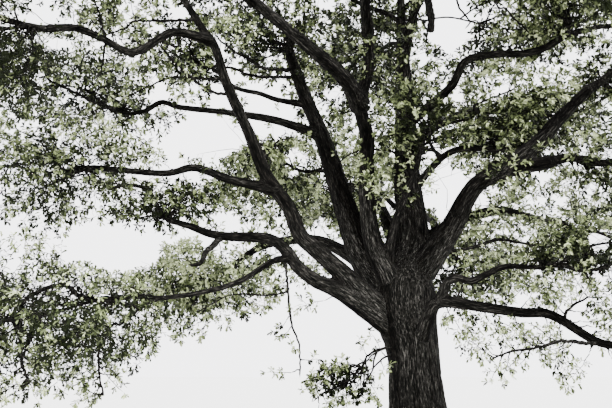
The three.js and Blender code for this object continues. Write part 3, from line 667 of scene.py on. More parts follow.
def finish_of(name, roughness, colour=(0.1, 0.1, 0.1), gloss=0.25):
    finish = bpy.data.materials.new(name)
    finish.use_nodes = True
    shader = finish.node_tree.nodes["Principled BSDF"]
    shader.inputs["Roughness"].default_value = roughness
    shader.inputs["Base Color"].default_value = (*colour, 1)
    shader.inputs["Specular IOR Level"].default_value = gloss
    return finish, finish.node_tree, shader

def add_node(tree, kind, **values):
    node = tree.nodes.new(kind)
    for key, value in values.items():
        if key in node.inputs:
            node.inputs[key].default_value = value
        else:
            setattr(node, key, value)
    return node

def ramp_of(tree, source, stops):
    node = tree.nodes.new("ShaderNodeValToRGB")
    elements = node.color_ramp.elements
    elements[0].position, elements[1].position = stops[0][0], stops[-1][0]
    for place, colour in stops[1:-1]:
        elements.new(place)
    for element, (place, colour) in zip(elements, stops):
        element.color = (*colour, 1)
    tree.links.new(source, node.inputs["Fac"])
    return node.outputs["Color"]

def bark_finish(name, place, stretch, scale, bump):
    finish, tree, shader = finish_of(name, 0.94, gloss=0.04)
    link = tree.links.new
    if place:
        source = add_node(tree, "ShaderNodeAttribute", attribute_name=place).outputs["Vector"]
    else:
        source = add_node(tree, "ShaderNodeTexCoord").outputs["Object"]
    drawn = add_node(tree, "ShaderNodeMapping", Scale=(1, 1, stretch))
    link(source, drawn.inputs["Vector"])
    ridges = add_node(tree, "ShaderNodeTexNoise", Scale=scale, Detail=6, Roughness=0.65,
                      Distortion=0.5)
    grain = add_node(tree, "ShaderNodeTexNoise", Scale=2.7 * scale, Detail=3, Roughness=0.6)
    patches = add_node(tree, "ShaderNodeTexNoise", Scale=0.07 * scale, Detail=3)
    for node in (ridges, grain, patches):
        link(drawn.outputs["Vector"], node.inputs["Vector"])
    height = add_node(tree, "ShaderNodeMix", data_type="FLOAT", Factor=0.35)
    link(ridges.outputs["Fac"], height.inputs["A"])
    link(grain.outputs["Fac"], height.inputs["B"])
    tinted = add_node(tree, "ShaderNodeMix", data_type="RGBA", blend_type="MULTIPLY", Factor=1)
    link(ramp_of(tree, height.outputs["Result"], BARK_AND_SHADE_COLOURS), tinted.inputs["A"])
    link(ramp_of(tree, patches.outputs["Fac"], WORN_COLOURS), tinted.inputs["B"])
    link(tinted.outputs["Result"], shader.inputs["Base Color"])
    raised = add_node(tree, "ShaderNodeBump", Strength=0.9, Distance=bump)
    link(height.outputs["Result"], raised.inputs["Height"])
    link(raised.outputs["Normal"], shader.inputs["Normal"])
    return finish

BARK = bark_finish("furrowed_bark", "place_on_limb", 0.1, 50, 0.02)
TWIG_BARK = bark_finish("twig_bark", None, 1, 30, 0.004)
LEAVES = [finish_of(name, 0.36, *look)[0] for name, look in LEAF_TINTS_LIT_AND_SHADED.items()]
print("finishes", 2 + len(LEAVES))

# %% [markdown]
# The trunk and its limbs are one living surface with swollen joints. Tubes alone would only
# stick in each other, so the tubes of a group are joined, a voxel Remesh makes them one skin,
# and a Smooth rounds the joints off. Groups that meet overlap by a hand's width of the same
# tube, so no gap shows.

# %% Wood
STUB = 0.9       # metres of each limb that go into the trunk's own skin
OVERLAP = 0.25   # metres of a limb that are in both skins
TRUNK_SKIN = dict(voxel=0.024, rounds=4)
LIMB_SKIN = dict(voxel=0.03, rounds=2)
TUBE_SIDES = dict(trunk=96, stub=32, limb=24)
WOOD_GROUPS = {
    "left_limbs": ["great_left_limb", "low_left_limb", "drooping_left_limb", "left_limb",
                   "inner_left_limb", "near_left_limb"],
    "left_stems": ["left_stem", "long_left_limb", "left_stem_branch"],
    "middle_stems": ["middle_stem", "slender_stem", "upper_left_limb", "front_left_limb",
                     "front_limb"],
    "right_limbs": ["right_limb", "rising_right_limb", "low_right_limb", "low_right_fork"],
    "leader_limbs": ["inner_right_limb", "high_right_limb", "high_back_right_limb",
                     "front_right_limb"],
    "back_limbs": ["back_left_limb", "back_limb", "back_right_limb", "right_back_limb"],
}

def frames_of(axis, metres):
    """Two directions across an axis that don't twist along it."""
    ways = axis.tangent(metres)
    side = np.zeros_like(ways)
    across = np.array([0, -1.0, 0]) if abs(ways[0, 2]) > 0.9 else unit(np.cross(UP, ways[0]))
    for i, way in enumerate(ways):
        across = unit(across - way * (across @ way))
        side[i] = across
    return np.cross(side, ways), side

def wood_tube(name, start, stop, sides, spacing=0.06):
    """The tube of a limb or the trunk between two places along it, closed at both ends."""
    axis = axes[name]
    metres = np.linspace(start, stop, max(3, int((stop - start) / spacing)))
    first, second = frames_of(axis, metres)
    turn = 2 * np.pi * np.arange(sides) / sides
    size = np.broadcast_to(radii[name](metres[:, None], turn[None]), (len(metres), sides))
    corners = (axis.at(metres)[:, None] + (size * np.cos(turn))[..., None] * first[:, None]
               + (size * np.sin(turn))[..., None] * second[:, None])
    k, next_k = np.arange(sides), (np.arange(sides) + 1) % sides
    rings = np.arange(len(metres) - 1)[:, None] * sides
    quads = np.stack([rings + k, rings + next_k, rings + sides + next_k, rings + sides + k], -1)
    ends = np.stack([k[::-1], k + sides * (len(metres) - 1)])
    return corners.reshape(-1, 3), [quads.reshape(-1, 4), ends]

def only(piece):
    bpy.ops.object.select_all(action="DESELECT")
    piece.select_set(True)
    bpy.context.view_layer.objects.active = piece

def apply_modifier(piece, kind, **values):
    bpy.ops.object.modifier_add(type=kind)
    for key, value in values.items():
        setattr(piece.modifiers[-1], key, value)
    bpy.ops.object.modifier_apply(modifier=piece.modifiers[-1].name)

def skinned(name, parts, voxel, rounds):
    """One piece of wood from overlapping tubes."""
    piece = piece_of(name, parts, [BARK])
    only(piece)
    apply_modifier(piece, "REMESH", mode="VOXEL", voxel_size=voxel)
    apply_modifier(piece, "SMOOTH", factor=0.5, iterations=rounds)
    return piece

def stub_end(name):
    """Where along a limb the trunk's own skin ends."""
    return float(trunk_radius(LIMBS[name][1], 0)) + STUB if LIMBS[name][0] == "trunk" else OVERLAP

on_trunk = [name for name in LIMBS if LIMBS[name][0] == "trunk"]
trunk_parts = [wood_tube("trunk", 0, trunk_axis.length, TUBE_SIDES["trunk"], 0.04),
               *(wood_tube(name, 0, stub_end(name), TUBE_SIDES["stub"]) for name in on_trunk)]
wood_pieces = {"trunk_and_fork": skinned("trunk_and_fork", trunk_parts, **TRUNK_SKIN)}
for group, names in WOOD_GROUPS.items():
    parts = [wood_tube(name, stub_end(name) - OVERLAP, axes[name].length, TUBE_SIDES["limb"])
             for name in names]
    wood_pieces[group] = skinned(group, parts, **LIMB_SKIN)
print("wood", {name: len(piece.data.vertices) for name, piece in wood_pieces.items()})

# %% [markdown]
# Bark relief: the nearest limb gives each corner its place, along the limb and across it. Narrow
# furrows drawn out along the limb are cut where a smooth noise crosses its middle value, deep on
# the trunk and shallow on thin limbs, and broad swellings make the wood less even.

# %% Bark relief
LATTICE = np.random.default_rng(7).random((32, 32, 32))
SAMPLE_SPACING = 0.06
ROWS_AT_ONCE = 20000
FURROWS = [(0.075, 5, 0.22, 1), (0.045, 50, 0.25, 0.5)]  # spacing, shift, width, share of depth
FURROW_DEPTH = dict(most=0.014, per_radius=0.04, drawn=(1, 1, 0.2))
SWELLING = dict(most=0.03, per_radius=0.1, spacing=0.45, shift=20)

def smooth_noise(points):
    cell = np.floor(points).astype(int)
    part = points - cell
    part = part * part * (3 - 2 * part)
    total = np.zeros(len(points))
    for corner in np.ndindex(2, 2, 2):
        weight = np.prod(np.where(np.array(corner), part, 1 - part), axis=1)
        total += weight * LATTICE[tuple(((cell + corner) % 32).T)]
    return total

def places_on(names, corners):
    """For each corner: its place across and along the nearest limb, and that limb's radius."""
    rows = []
    for name in names:
        axis = axes[name]
        metres = np.arange(0, axis.length, SAMPLE_SPACING)
        rows.append((axis.at(metres), radii[name](metres, 0), axis.tangent(metres),
                     *frames_of(axis, metres), metres))
    samples, sizes, ways, firsts, seconds, along = (np.concatenate(column) for column in zip(*rows))
    near = np.zeros(len(corners), int)
    for start in range(0, len(corners), ROWS_AT_ONCE):
        some = slice(start, start + ROWS_AT_ONCE)
        apart = np.linalg.norm(corners[some, None] - samples[None], axis=2) - sizes
        near[some] = apart.argmin(1)
    way = corners - samples[near]
    return np.stack([(way * firsts[near]).sum(1), (way * seconds[near]).sum(1),
                     along[near] + (way * ways[near]).sum(1)], 1), sizes[near]

def relief(piece, names):
    corners, normals = np.zeros((2, 3 * len(piece.data.vertices)), np.float32)
    piece.data.vertices.foreach_get("co", corners)
    piece.data.vertex_normals.foreach_get("vector", normals)
    corners, normals = corners.reshape(-1, 3), normals.reshape(-1, 3)
    place, size = places_on(names, corners)
    swell = smooth_noise(place / SWELLING["spacing"] + SWELLING["shift"]) - 0.5
    out = np.minimum(SWELLING["most"], SWELLING["per_radius"] * size) * swell
    depth = np.minimum(FURROW_DEPTH["most"], FURROW_DEPTH["per_radius"] * size)
    for spacing, shift, width, share in FURROWS:
        furrow = np.abs(2 * smooth_noise(place * FURROW_DEPTH["drawn"] / spacing + shift) - 1)
        out = out - share * depth * np.exp(-(furrow / width) ** 2)
    corners = corners + out[:, None] * normals
    piece.data.vertices.foreach_set("co", corners.astype(np.float32).ravel())
    field = piece.data.attributes.new("place_on_limb", "FLOAT_VECTOR", "POINT")
    field.data.foreach_set("vector", place.astype(np.float32).ravel())
    piece.data.update()

relief(wood_pieces["trunk_and_fork"], ["trunk", *on_trunk])
for group, names in WOOD_GROUPS.items():
    relief(wood_pieces[group], names)

def cut_at_ground(piece):
    only(piece)
    bpy.ops.object.mode_set(mode="EDIT")
    bpy.ops.mesh.select_all(action="SELECT")
    bpy.ops.mesh.bisect(plane_co=(0, 0, 0), plane_no=(0, 0, 1), use_fill=True, clear_inner=True)
    bpy.ops.object.mode_set(mode="OBJECT")

cut_at_ground(wood_pieces["trunk_and_fork"])
for piece in wood_pieces.values():
    only(piece)
    bpy.ops.object.shade_smooth()
print("bark triangles", {name: triangles(piece) for name, piece in wood_pieces.items()})

# %% [markdown]
# An oak leaf is widest past its middle and has rounded lobes. Eight corners give that outline,
# folded a little along the midrib. Leaves sit in tufts at the ends of fine twigs, turned to the
# light. There are far fewer than on the real oak, so they are larger, and those in the picture
# are smaller and more the nearer they are to the eye.

# %% Leaves
NEAR_LEAF = (np.array([[0, 0], [0.3, 0.16], [0.46, 0.1], [0.72, 0.25], [1, 0],
                       [0.72, -0.25], [0.46, -0.1], [0.3, -0.16]]),
             np.array([[0, 2, 1], [2, 4, 3], [0, 4, 2], [0, 7, 6], [6, 5, 4], [0, 6, 4]]))
FAR_LEAF = (np.array([[0, 0], [0.36, 0.17], [0.74, 0.24], [1, 0], [0.74, -0.24], [0.36, -0.17]]),
            np.array([[0, 2, 1], [0, 3, 2], [0, 5, 4], [0, 4, 3]]))
LEAF = dict(per_metre=0.0086, shortest=0.078, longest=0.175, far_from=0.084, unseen=0.17,
            seen_within=(0.6, 0.65), sizes=(0.7, 1.2), fold=0.35, droop=-0.12)
TUFT = dict(leaves=8, spread=0.75, crowding=1.3, slip=0.05, turn=2.4, sway=0.5, lean=(25, 80),
            end_lean=0.3, hang=-0.12, off_light=0.45)

def leaf_length(place):
    """The length of leaves at a place, by how far it is from the eye."""
    x, y, depth = seen_at(place[None])[0]
    wide, high = LEAF["seen_within"]
    if abs(x - PICTURE[0] / 2) > wide * PICTURE[0] or abs(y - PICTURE[1] / 2) > high * PICTURE[1]:
        return LEAF["unseen"]
    return min(max(LEAF["per_metre"] * depth, LEAF["shortest"]), LEAF["longest"])

def leaf_form(length):
    return FAR_LEAF if length > LEAF["far_from"] else NEAR_LEAF

def leaves_on(roots, tips, length, rng):
    """Corners and faces of the tufts of leaves on fine twigs."""
    outline, leaf_faces = leaf_form(length)
    each = TUFT["leaves"]
    rows = (len(roots), each)
    way = unit(tips - roots)
    side = unit(np.cross(np.where(np.abs(way[:, 2:]) < 0.9, UP, (1.0, 0, 0)), way))
    above = np.cross(way, side)
    place = np.arange(each)
    share = (1 - TUFT["spread"] * (place / each) ** TUFT["crowding"]
             + rng.uniform(-TUFT["slip"], 0.0, rows))
    foot = roots[:, None] + share[..., None] * (tips - roots)[:, None]
    turn = (place * TUFT["turn"] + rng.uniform(0, 2 * np.pi, (len(roots), 1))
            + rng.uniform(-TUFT["sway"], TUFT["sway"], rows))[..., None]
    lean = np.radians(rng.uniform(*TUFT["lean"], rows))[..., None]
    lean[:, 0] *= TUFT["end_lean"]
    along = (np.cos(lean) * way[:, None]
             + np.sin(lean) * (np.cos(turn) * side[:, None] + np.sin(turn) * above[:, None]))
    along = unit(along + TUFT["hang"] * UP)
    across = unit(np.cross(unit(UP + rng.normal(0, TUFT["off_light"], (*rows, 3))), along))
    normal = np.cross(along, across)
    size = length * rng.uniform(*LEAF["sizes"], rows)[..., None, None]
    run, out = outline[:, :1], outline[:, 1:]
    rise = LEAF["fold"] * np.abs(out) + LEAF["droop"] * run ** 2
    foot, along, across, normal = (v[..., None, :] for v in (foot, along, across, normal))
    corners = foot + size * (run * along + out * across + rise * normal)
    faces = leaf_faces[None] + len(outline) * np.arange(rows[0] * each)[:, None, None]
    return corners.reshape(-1, 3), faces.reshape(-1, 3)

print("leaves", round(leaf_length(masses["front_limb_foliage"]["middle"]), 3), "to",
      round(leaf_length(masses["back_limb_foliage"]["middle"]), 3), "m long")

# %% [markdown]
# The crown is kept open where the sky shows through it, and fine twigs that would hide a limb
# from the eye are thinned out, more for the limbs that show best.

# %% Sky and limbs that show
SKY = [  # windows in the crown: middle and half sizes in pixels, and the share of leaves left out
    (125, 252, 34, 21, 1), (80, 252, 24, 12, 1), (208, 137, 42, 22, 1), (450, 195, 20, 30, 1),
    (448, 25, 24, 26, 1), (10, 265, 11, 11, 1), (37, 17, 22, 7, 1), (58, 43, 19, 7, 1),
    (321, 232, 8, 17, 1), (384, 205, 8, 30, 0.5), (337, 92, 7, 10, 1), (592, 196, 18, 12, 0.8),
    (598, 240, 13, 12, 1), (510, 16, 36, 18, 0.45), (560, 12, 22, 12, 0.5),
    (530, 84, 26, 14, 0.2), (498, 128, 24, 18, 0.45), (272, 124, 24, 17, 0.95),
    (225, 45, 16, 12, 0.6), (15, 225, 26, 10, 0.3), (296, 160, 12, 14, 0.9),
    (272, 60, 14, 12, 0.6), (90, 200, 46, 14, 0.4), (205, 88, 18, 10, 0.5),
]
SHOWN = {  # limbs that show among the leaves, and the share of twigs before them that is left out
    "trunk": 0.25, "middle_stem": 0.4, "slender_stem": 0.35, "right_limb": 0.6,
    "rising_right_limb": 0.35, "inner_right_limb": 0.5, "high_right_limb": 0.75,
    "upper_left_limb": 0.9,
    **{name: 0.9 for name in (*WOOD_GROUPS["left_limbs"], *WOOD_GROUPS["left_stems"],
                              "low_right_limb", "low_right_fork") if name != "inner_left_limb"},
    **{name: 0.75 for name in BRANCHES},
}
SHOWN_ROOM = 4.5  # pixels on each side of a limb, for the leaves of a twig
SHOWN_SPACING = 0.08

def under_sky(points):
    """The share of leaves at each place to leave out, so that the sky shows through."""
    seen = seen_at(points)
    left_out = np.zeros(len(points))
    for x, y, wide, high, share in SKY:
        inside = ((seen[:, 0] - x) / wide) ** 2 + ((seen[:, 1] - y) / high) ** 2 < 1
        left_out = np.maximum(left_out, share * (inside & (seen[:, 2] > 0)))
    return left_out

shown = []
for name, share in SHOWN.items():
    along = np.arange(0, axes[name].length, SHOWN_SPACING)
    seen = seen_at(axes[name].at(along))
    room = FOCUS * radii[name](along, 0) / seen[:, 2] + SHOWN_ROOM
    shown.append(np.column_stack([seen, room, np.full(len(along), share)]))
shown = np.concatenate(shown)

def share_before_limbs(points):
    """The share of twigs at each place to leave out, as they would hide a limb."""
    seen = seen_at(points)
    apart = np.hypot(seen[:, None, 0] - shown[:, 0], seen[:, None, 1] - shown[:, 1])
    hides = (apart < shown[:, 3]) & (seen[:, None, 2] < shown[:, 2]) & (seen[:, None, 2] > 0)
    return (hides * shown[:, 4]).max(1)

print("windows", len(SKY), "limbs that show", len(SHOWN))

# %% [markdown]
# Each spray of the rule becomes a branch with a midrib and fine twigs to both sides of it, in
# the blade's outline and with some thickness. A leaf's tint goes by its light: deep green inside
# a mass and below it, paler at its edge and top, and darker where it faces away from the eye.

# %% Sprays
FULLNESS = 0.133  # fine twigs for each leaf's own square of a spray
FINE = dict(fewest=3, first=0.2, foot_width=0.15, inner=0.25, thickness=0.26, lean=0.5,
            feet=(0.12, 0.93), least_kept=0.2, rib_end=0.93, off_edge=0.1, radius=0.006)
TWIG_TUBES = dict(points=7, sides=4, thin=0.5)
RIB_TUBES = dict(points=5, sides=3, thin=0.35)
CROOKED = dict(bow=0.04, kink=0.035)
TINT_SPREAD = (0.24, 0.26)  # from one tuft to the next, and within a tuft
TINT_STEPS = [0.5, 0.76, 1.06]

def crooked(starts, ends, points, rng):
    """Paths between two places that bow and kink by shares of their length."""
    share = np.linspace(0, 1, points)[None, :, None]
    length = np.linalg.norm(ends - starts, axis=1)[:, None, None]
    kinks = rng.normal(0, CROOKED["kink"], (len(starts), points, 3)) * (share > 0) * (share < 1)
    lift = rng.normal(0, CROOKED["bow"], (len(starts), 1, 3)) * 4 * share * (1 - share)
    return starts[:, None] + share * (ends - starts)[:, None] + length * (lift + kinks)

def fine_sprays(spray, full, fits_at, rng):
    """Roots and tips of the fine twigs of one branch, its leaves' length and its own reach."""
    length = spray["length"]
    leaf = leaf_length(spray["root"])
    count = int(full * FULLNESS * (length / leaf) ** 2) + FINE["fewest"]
    place = np.arange(count)
    run = FINE["first"] + (1 - FINE["first"]) * (place + rng.uniform(0, 1, count)) / count
    wide = blade_width(run) * (1 - FINE["foot_width"]) + FINE["foot_width"]
    out = wide * np.sign(place % 2 - 0.5) * rng.uniform(FINE["inner"], 1, count)
    thick = wide * rng.uniform(-1, 1, count) * FINE["thickness"]
    tips = on_spray(spray, run, out) + np.multiply.outer(thick, spray["face"]) * length
    back = FINE["lean"] * np.hypot(0.5 * SPRAY["width"] * out, thick)
    feet = np.clip(run - back, *FINE["feet"])
    roots = spray["root"] + np.multiply.outer(feet, spray["along"]) * length
    within = (tips > CAD_BOX[0] + FINE["off_edge"]) & (tips < CAD_BOX[1] - FINE["off_edge"])
    before = np.maximum(share_before_limbs(tips), share_before_limbs((roots + tips) / 2))
    keep = fits_at(tips) & within.all(1)
    keep &= rng.uniform(0, 1, count) >= np.maximum(before, under_sky(tips))
    if keep.sum() < max(FINE["fewest"], FINE["least_kept"] * count):
        return None
    return roots[keep], tips[keep], leaf, min(FINE["rib_end"], run[keep].max())

class Foliage:
    """Gathers the wood and the leaves of a mass, branch by branch."""
    def __init__(self, seed):
        self.rng = np.random.default_rng(seed)
        self.twigs, self.ribs, self.fine, self.leaves, self.tints = [], [], [], [], []

    def add_spray(self, spray, full, thick, fits_at, light_at):
        made = fine_sprays(spray, full, fits_at, self.rng)
        if made is None:
            return False
        roots, tips, leaf, reach = made
        self.ribs.append((spray["root"], on_spray(spray, reach, 0), thick))
        self.fine.append(np.stack([roots, tips], 1))
        corners, faces = leaves_on(roots, tips, leaf, self.rng)
        self.leaves.append((corners, [faces]))
        light = light_at(tips) + self.rng.normal(0, TINT_SPREAD[0], len(tips))
        light = np.repeat(light, TUFT["leaves"])
        light += self.rng.normal(0, TINT_SPREAD[1], len(light))
        self.tints.append(np.repeat(np.digitize(light, TINT_STEPS), len(leaf_form(leaf)[1])))
        return True

    def add_twig(self, start, end, thick):
        self.twigs.append((start, end, thick))

    def tubes_of(self, rows, points, sides, thin):
        starts, ends, sizes = (np.array(column) for column in zip(*rows))
        paths = crooked(starts, ends, points, self.rng)
        return tubes(paths, sizes[:, None] * np.linspace(1, thin, points), sides)

    def wood(self):
        fine = np.concatenate(self.fine)
        return [self.tubes_of(self.twigs, **TWIG_TUBES), self.tubes_of(self.ribs, **RIB_TUBES),
                tubes(fine, np.tile([FINE["radius"], 0.0], (len(fine), 1)), 3, capped=False)]

    def pieces(self, name, wood):
        tints = np.concatenate(self.tints)
        return (piece_of(name + "_twigs", wood, [TWIG_BARK]),
                piece_of(name + "_leaves", self.leaves, LEAVES, tints, smooth=False))

print("leaves in a tuft", TUFT["leaves"])

# %% [markdown]
# In a mass the stem becomes a bough that swings a little, the main twigs grow from it, and each
# carries its sprays. Masses that the sky shows through have fewer fine twigs, and the tints of
# some are shifted, as they stand in shade or in the light.

# %% Masses
OPEN = {  # masses that the sky shows through, and the share of fine twigs that they have
    "left_limb": 0.6, "long_left_limb": 0.55, "near_left_limb": 0.65, "left_stem_branch": 0.6,
    "great_left_limb": 0.9, "low_left_limb": 0.65, "inner_left_limb": 0.8, "left_stem": 0.75,
    "drooping_left_limb": 0.85, "front_left_limb": 0.7, "low_shoot": 0.2, "high_right_limb": 0.8,
}
SHADED = {  # masses and shoots whose leaves are darker than the rest, or lighter if below 0
    "near_left_limb": 0.35, "front_limb": 0.42, "middle_stem": 0.4, "upper_left": 0.42,
    "top": 0.35, "upper_left_limb": 0.2, "left_stem": 0.1, "drooping_left_limb": 0.22,
    "low_left_limb": 0.15, "inner_left_limb": -0.3, "back_left_limb": -0.2,
    "high_back_left": -0.2, "back_limb": -0.2, "high_right_limb": -0.05, "low_right_limb": 0.2,
    "low_right_fork": 0.2, "slender_stem": 0.1, "trunk": 0.35,
}
LIGHT = dict(above=0.3, behind=0.2, outer_shade=0.45)
THIN_BOUGHS = {  # masses whose limb runs on as a branch of its own, or whose stem shows too much
    "low_shoot": 0.3, "upper_right": 0.45, "left_limb": 0.6, "drooping_left_limb": 0.6,
    "long_left_limb": 0.6, "near_left_limb": 0.6, "high_right_limb": 0.6, "low_right_fork": 0.6,
}
BOUGH = dict(samples=48, foot=0.12, sides=8)
MAIN_TWIG = dict(thin=0.02, per_metre=0.009, thick=0.05, end_rib=0.45, side_rib=0.3,
                 full_from=13, thinnest=0.5)
SWING = dict(grown_by=0.5, across=(0.09, 2.4), up=(0.08, 3.3))  # metres, and turn in a metre
SKY_ALLOWED = 0.45  # the mean share of sky along a main twig above which it is left out
SKY_PROBES = np.linspace(0.1, 1, 12)[:, None]

def swing(mass, along):
    """How far a bough swings off the straight pieces of its stem."""
    along = np.asarray(along, float)[..., None]
    start = mass["middle"].sum()
    (wide, wide_turn), (high, high_turn) = SWING["across"], SWING["up"]
    return np.clip(along / SWING["grown_by"], 0, 1) * (
        wide * np.sin(wide_turn * along + start) * mass["across"]
        + high * np.sin(high_turn * along + 2 * start) * UP)

def bough_of(mass, share):
    along = np.linspace(-BOUGH["foot"], mass["stem"].length, BOUGH["samples"])
    from_foot = np.maximum(along, 0)
    path = point_on_stem(mass["stem"], from_foot) + swing(mass, from_foot)
    path[0] -= BOUGH["foot"] * mass["stem"].tangent(0)
    return tubes(path[None], share * stem_radius(mass, from_foot)[None], BOUGH["sides"])

def grown_mass(name, seed):
    mass, short = masses[name], name.removesuffix("_foliage")
    stakes = stakes_near(name)
    grown = Foliage(seed)
    full = OPEN.get(short, 1)
    away = unit(mass["middle"] - EYE)

    def fits_at(tips):
        return in_own_space(name, tips, 0.0) & clear_of(stakes, tips, LEAF_MARGIN)

    def light_at(tips):
        above = (tips[:, 2] - mass["middle"][2]) / mass["half"][2]
        behind = (tips - mass["middle"]) @ away > LIGHT["behind"] * mass["half"][0]
        unseen = leaf_length(tips[0]) == LEAF["unseen"]
        return (depth_in(mass, tips) + LIGHT["above"] * above - SHADED.get(short, 0)
                - LIGHT["outer_shade"] * np.maximum(behind, unseen))

    for twig in twigs_of[name]:
        knot, neck = twig["knot"], twig["neck"]
        if under_sky(knot + SKY_PROBES * (neck - knot)).mean() > SKY_ALLOWED:
            continue
        thick = min(MAIN_TWIG["thick"],
                    MAIN_TWIG["thin"] + MAIN_TWIG["per_metre"] * np.linalg.norm(neck - knot))
        near = seen_at(neck[None])[0, 2] / MAIN_TWIG["full_from"]
        thick *= min(max(near, MAIN_TWIG["thinnest"]), 1)
        kept = grown.add_spray(twig["end"], full, MAIN_TWIG["end_rib"] * thick, fits_at, light_at)
        for side in twig["sides"]:
            kept |= grown.add_spray(side, full, MAIN_TWIG["side_rib"] * thick, fits_at, light_at)
        if kept:
            grown.add_twig(knot + swing(mass, twig["along"]), neck, thick)
    return grown.pieces(short, [bough_of(mass, THIN_BOUGHS.get(short, 1)), *grown.wood()])

foliage_pieces = {name: grown_mass(name, FIRST_SEED + i) for i, name in enumerate(masses)}
twig_counts, leaf_counts = zip(*(map(triangles, pair) for pair in foliage_pieces.values()))
print("twig triangles", sum(twig_counts), "leaf triangles", sum(leaf_counts),
      "most in a piece", max(leaf_counts))

# %% [markdown]
# Old limbs carry young leafy shoots of their own, most in the middle of the crown, where light
# comes in, and a few thin twigs hang from the low limbs. They are grown like the branches above,
# but from the bark of a limb, and kept clear of all other wood.

# %% Young shoots
TO_END = 9  # metres, longer than any thin branch
SHOOTS = {  # from where to where along a limb, how far apart, and how long they are
    "trunk": (4.2, 10.6, 0.16, (0.5, 1.3)),
    "middle_stem": (1.6, 7.2, 0.17, (0.5, 1.2)),
    "slender_stem": (0.4, 2.0, 0.25, (0.4, 0.8)),
    "left_stem": (2.2, 7.0, 0.26, (0.5, 1.2)),
    "upper_left_limb": (0.1, 4.6, 0.18, (0.5, 1.1)),
    "left_limb": (0.3, 3.6, 0.15, (0.4, 0.75)),
    "long_left_limb": (0.4, 3.6, 0.3, (0.4, 0.7)),
    "great_left_limb": (3.6, 8.6, 0.5, (0.5, 1.0)),
    "near_left_limb": (0.5, 3.3, 0.12, (0.5, 1.0)),
    "low_left_limb": (1.6, 4.4, 0.2, (0.4, 0.8)),
    "inner_right_limb": (0.3, 2.2, 0.18, (0.4, 0.9)),
    "high_right_limb": (0.4, 3.6, 0.25, (0.4, 1.0)),
    "right_limb": (1.4, 4.0, 0.22, (0.5, 1.2)),
    "rising_right_limb": (0.3, 2.4, 0.25, (0.5, 1.1)),
    "right_back_limb": (0.8, 4.6, 0.17, (0.6, 1.3)),
    "back_right_limb": (0.8, 5.4, 0.35, (0.5, 1.2)),
    "back_limb": (0.8, 5.4, 0.35, (0.5, 1.2)),
    "back_left_limb": (0.8, 5.4, 0.22, (0.6, 1.3)),
    "high_back_right_limb": (0.5, 4.2, 0.3, (0.5, 1.2)),
    "low_right_limb": (1.6, 4.8, 0.13, (0.5, 1.0)),
    "low_right_fork": (0.6, 2.0, 0.12, (0.5, 0.9)),
}
BRANCH_SHOOTS = {  # the same for thin branches, as far as their ends
    **{name: (0.3, 0.22, (0.3, 0.5)) for name in BRANCHES},
    **{name: (0.3, 0.12, (0.4, 0.7)) for name in ("high_thin_branch", "middle_thin_branch")},
    **{name: (0.1, 0.12, (0.4, 0.8)) for name in ("near_left_run", "drooping_run")},
    "middle_right_branch": (0.3, 0.1, (0.4, 0.8)), "fork_run": (0.1, 0.12, (0.5, 0.9)),
    "upright_thin_branch": (0.2, 0.1, (0.3, 0.6)), "low_near_branch": (0.3, 0.07, (0.3, 0.5)),
    "low_left_branch": (0.1, 0.06, (0.35, 0.65)), "short_low_branch": (0.1, 0.12, (0.3, 0.6)),
    "low_shoot_branch": (0.4, 0.12, (0.25, 0.5)), "low_shoot_fork": (0.4, 0.14, (0.25, 0.45)),
    "hanging_stub": (0.1, 0.1, (0.25, 0.4)), "right_stub": (0.1, 0.06, (0.35, 0.6)),
    "right_drooping_branch": (0.1, 0.1, (0.3, 0.6)),
}
SHOOT = dict(thick=0.014, rib=0.6, bare=0.3, lift=0.3, lean=(40, 85), slip=0.4, light=0.82,
             on_branch=0.6, clear_within=2.5)
SHADE_FROM = [6, 7.5]  # the heights between which a shaded limb's shoots turn darker
BRANCH_WOOD = dict(spacing=0.06, fewest=6, kink=0.006, sizes=(0.9, 1.12), sides=7)

def clear_of_wood(tips):
    near = np.linalg.norm(stake_points - tips.mean(0), axis=1) < SHOOT["clear_within"]
    return clear_of((stake_points[near], stake_radii[near]), tips, LEAF_MARGIN)

def grow_shoots(grown, name, first, last, apart, lengths):
    rng, axis = grown.rng, axes[name]
    metres = np.arange(first, min(last, axis.length), apart)
    metres = metres + rng.uniform(-SHOOT["slip"], SHOOT["slip"], len(metres)) * apart
    for along, way in zip(metres, axis.tangent(metres)):
        way = bent(way, rng.uniform(*SHOOT["lean"]), rng.uniform(0, 360))
        length = rng.uniform(*lengths)
        start = axis.at(along)
        neck = start + way * (float(radii[name](along, 0)) + SHOOT["bare"] * length)
        spray = spray_at(neck, unit(way + SHOOT["lift"] * UP), rng.uniform(0, 180), length)
        full = SHOOT["on_branch"] if name in BRANCHES else 1
        light = SHOOT["light"] - SHADED.get(name, 0) * np.interp(neck[2], SHADE_FROM, [0, 1])
        if grown.add_spray(spray, full, SHOOT["rib"] * SHOOT["thick"], clear_of_wood,
                           lambda tips: np.full(len(tips), light)):
            grown.add_twig(start, neck, SHOOT["thick"])

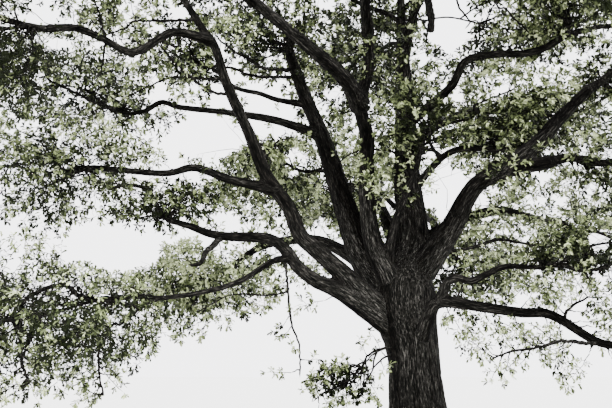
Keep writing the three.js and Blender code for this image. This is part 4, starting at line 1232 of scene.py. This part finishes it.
def branch_tube(name, rng):
    """The crooked tube of a thin branch, pointed at its end."""
    axis = axes[name]
    count = max(BRANCH_WOOD["fewest"], int(axis.length / BRANCH_WOOD["spacing"]))
    along = np.linspace(0, axis.length, count)
    kinks = rng.normal(0, BRANCH_WOOD["kink"], (count, 3)) * (along > 0)[:, None]
    sizes = radii[name](along) * rng.uniform(*BRANCH_WOOD["sizes"], count)
    return tubes((axis.at(along) + kinks)[None], sizes[None], BRANCH_WOOD["sides"])

shoots = Foliage(FIRST_SEED + len(masses))
for name, rule in SHOOTS.items():
    grow_shoots(shoots, name, *rule)
for name, (first, apart, lengths) in BRANCH_SHOOTS.items():
    grow_shoots(shoots, name, first, TO_END, apart, lengths)
thin_wood = [branch_tube(name, shoots.rng) for name in BRANCHES]
shoot_pieces = shoots.pieces("young_shoots", shoots.wood() + thin_wood)
print("shoots", len(shoots.twigs), "triangles", [triangles(piece) for piece in shoot_pieces])

# %% [markdown]
# Every piece rides on the one body and stands for its own solids, which are hidden. The shoots
# are small and stand for no solid of their own.

# %% Put the pieces in the frame
wood_nodes = {"trunk_and_fork": ["trunk"], **WOOD_GROUPS}
for group, piece in wood_pieces.items():
    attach(piece, "root")
    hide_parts(*wood_nodes[group])
for name, (twigs, leaves) in foliage_pieces.items():
    for piece in (twigs, leaves):
        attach(piece, "root")
        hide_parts(name)
for piece, slot in zip(shoot_pieces, ("bark", "foliage")):
    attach(piece, "root")
print("pieces", len(wood_pieces) + 2 * len(foliage_pieces) + len(shoot_pieces))

# %% [markdown]
# The oak stands on a plain pale floor under a bright overcast sky, with a large soft sun high on
# the right, in front of the trunk.

# %% Floor and light
bpy.ops.mesh.primitive_plane_add(size=400, location=(0, 0, 0))
floor = bpy.context.object
floor.name = "floor"
floor.data.materials.append(finish_of("pale_floor", 0.9, (0.6, 0.6, 0.59))[0])
sky = bpy.data.worlds.new("sky")
sky.use_nodes = True
sky.node_tree.nodes["Background"].inputs["Color"].default_value = (0.98, 0.98, 1, 1)
sky.node_tree.nodes["Background"].inputs["Strength"].default_value = 4.8
bpy.context.scene.world = sky
sun = bpy.data.objects.new("sun", bpy.data.lights.new("sun", "SUN"))
sun.data.energy = 12
sun.data.angle = math.radians(6)
sun.rotation_euler = (math.radians(44), 0, math.radians(58))
bpy.context.scene.collection.objects.link(sun)
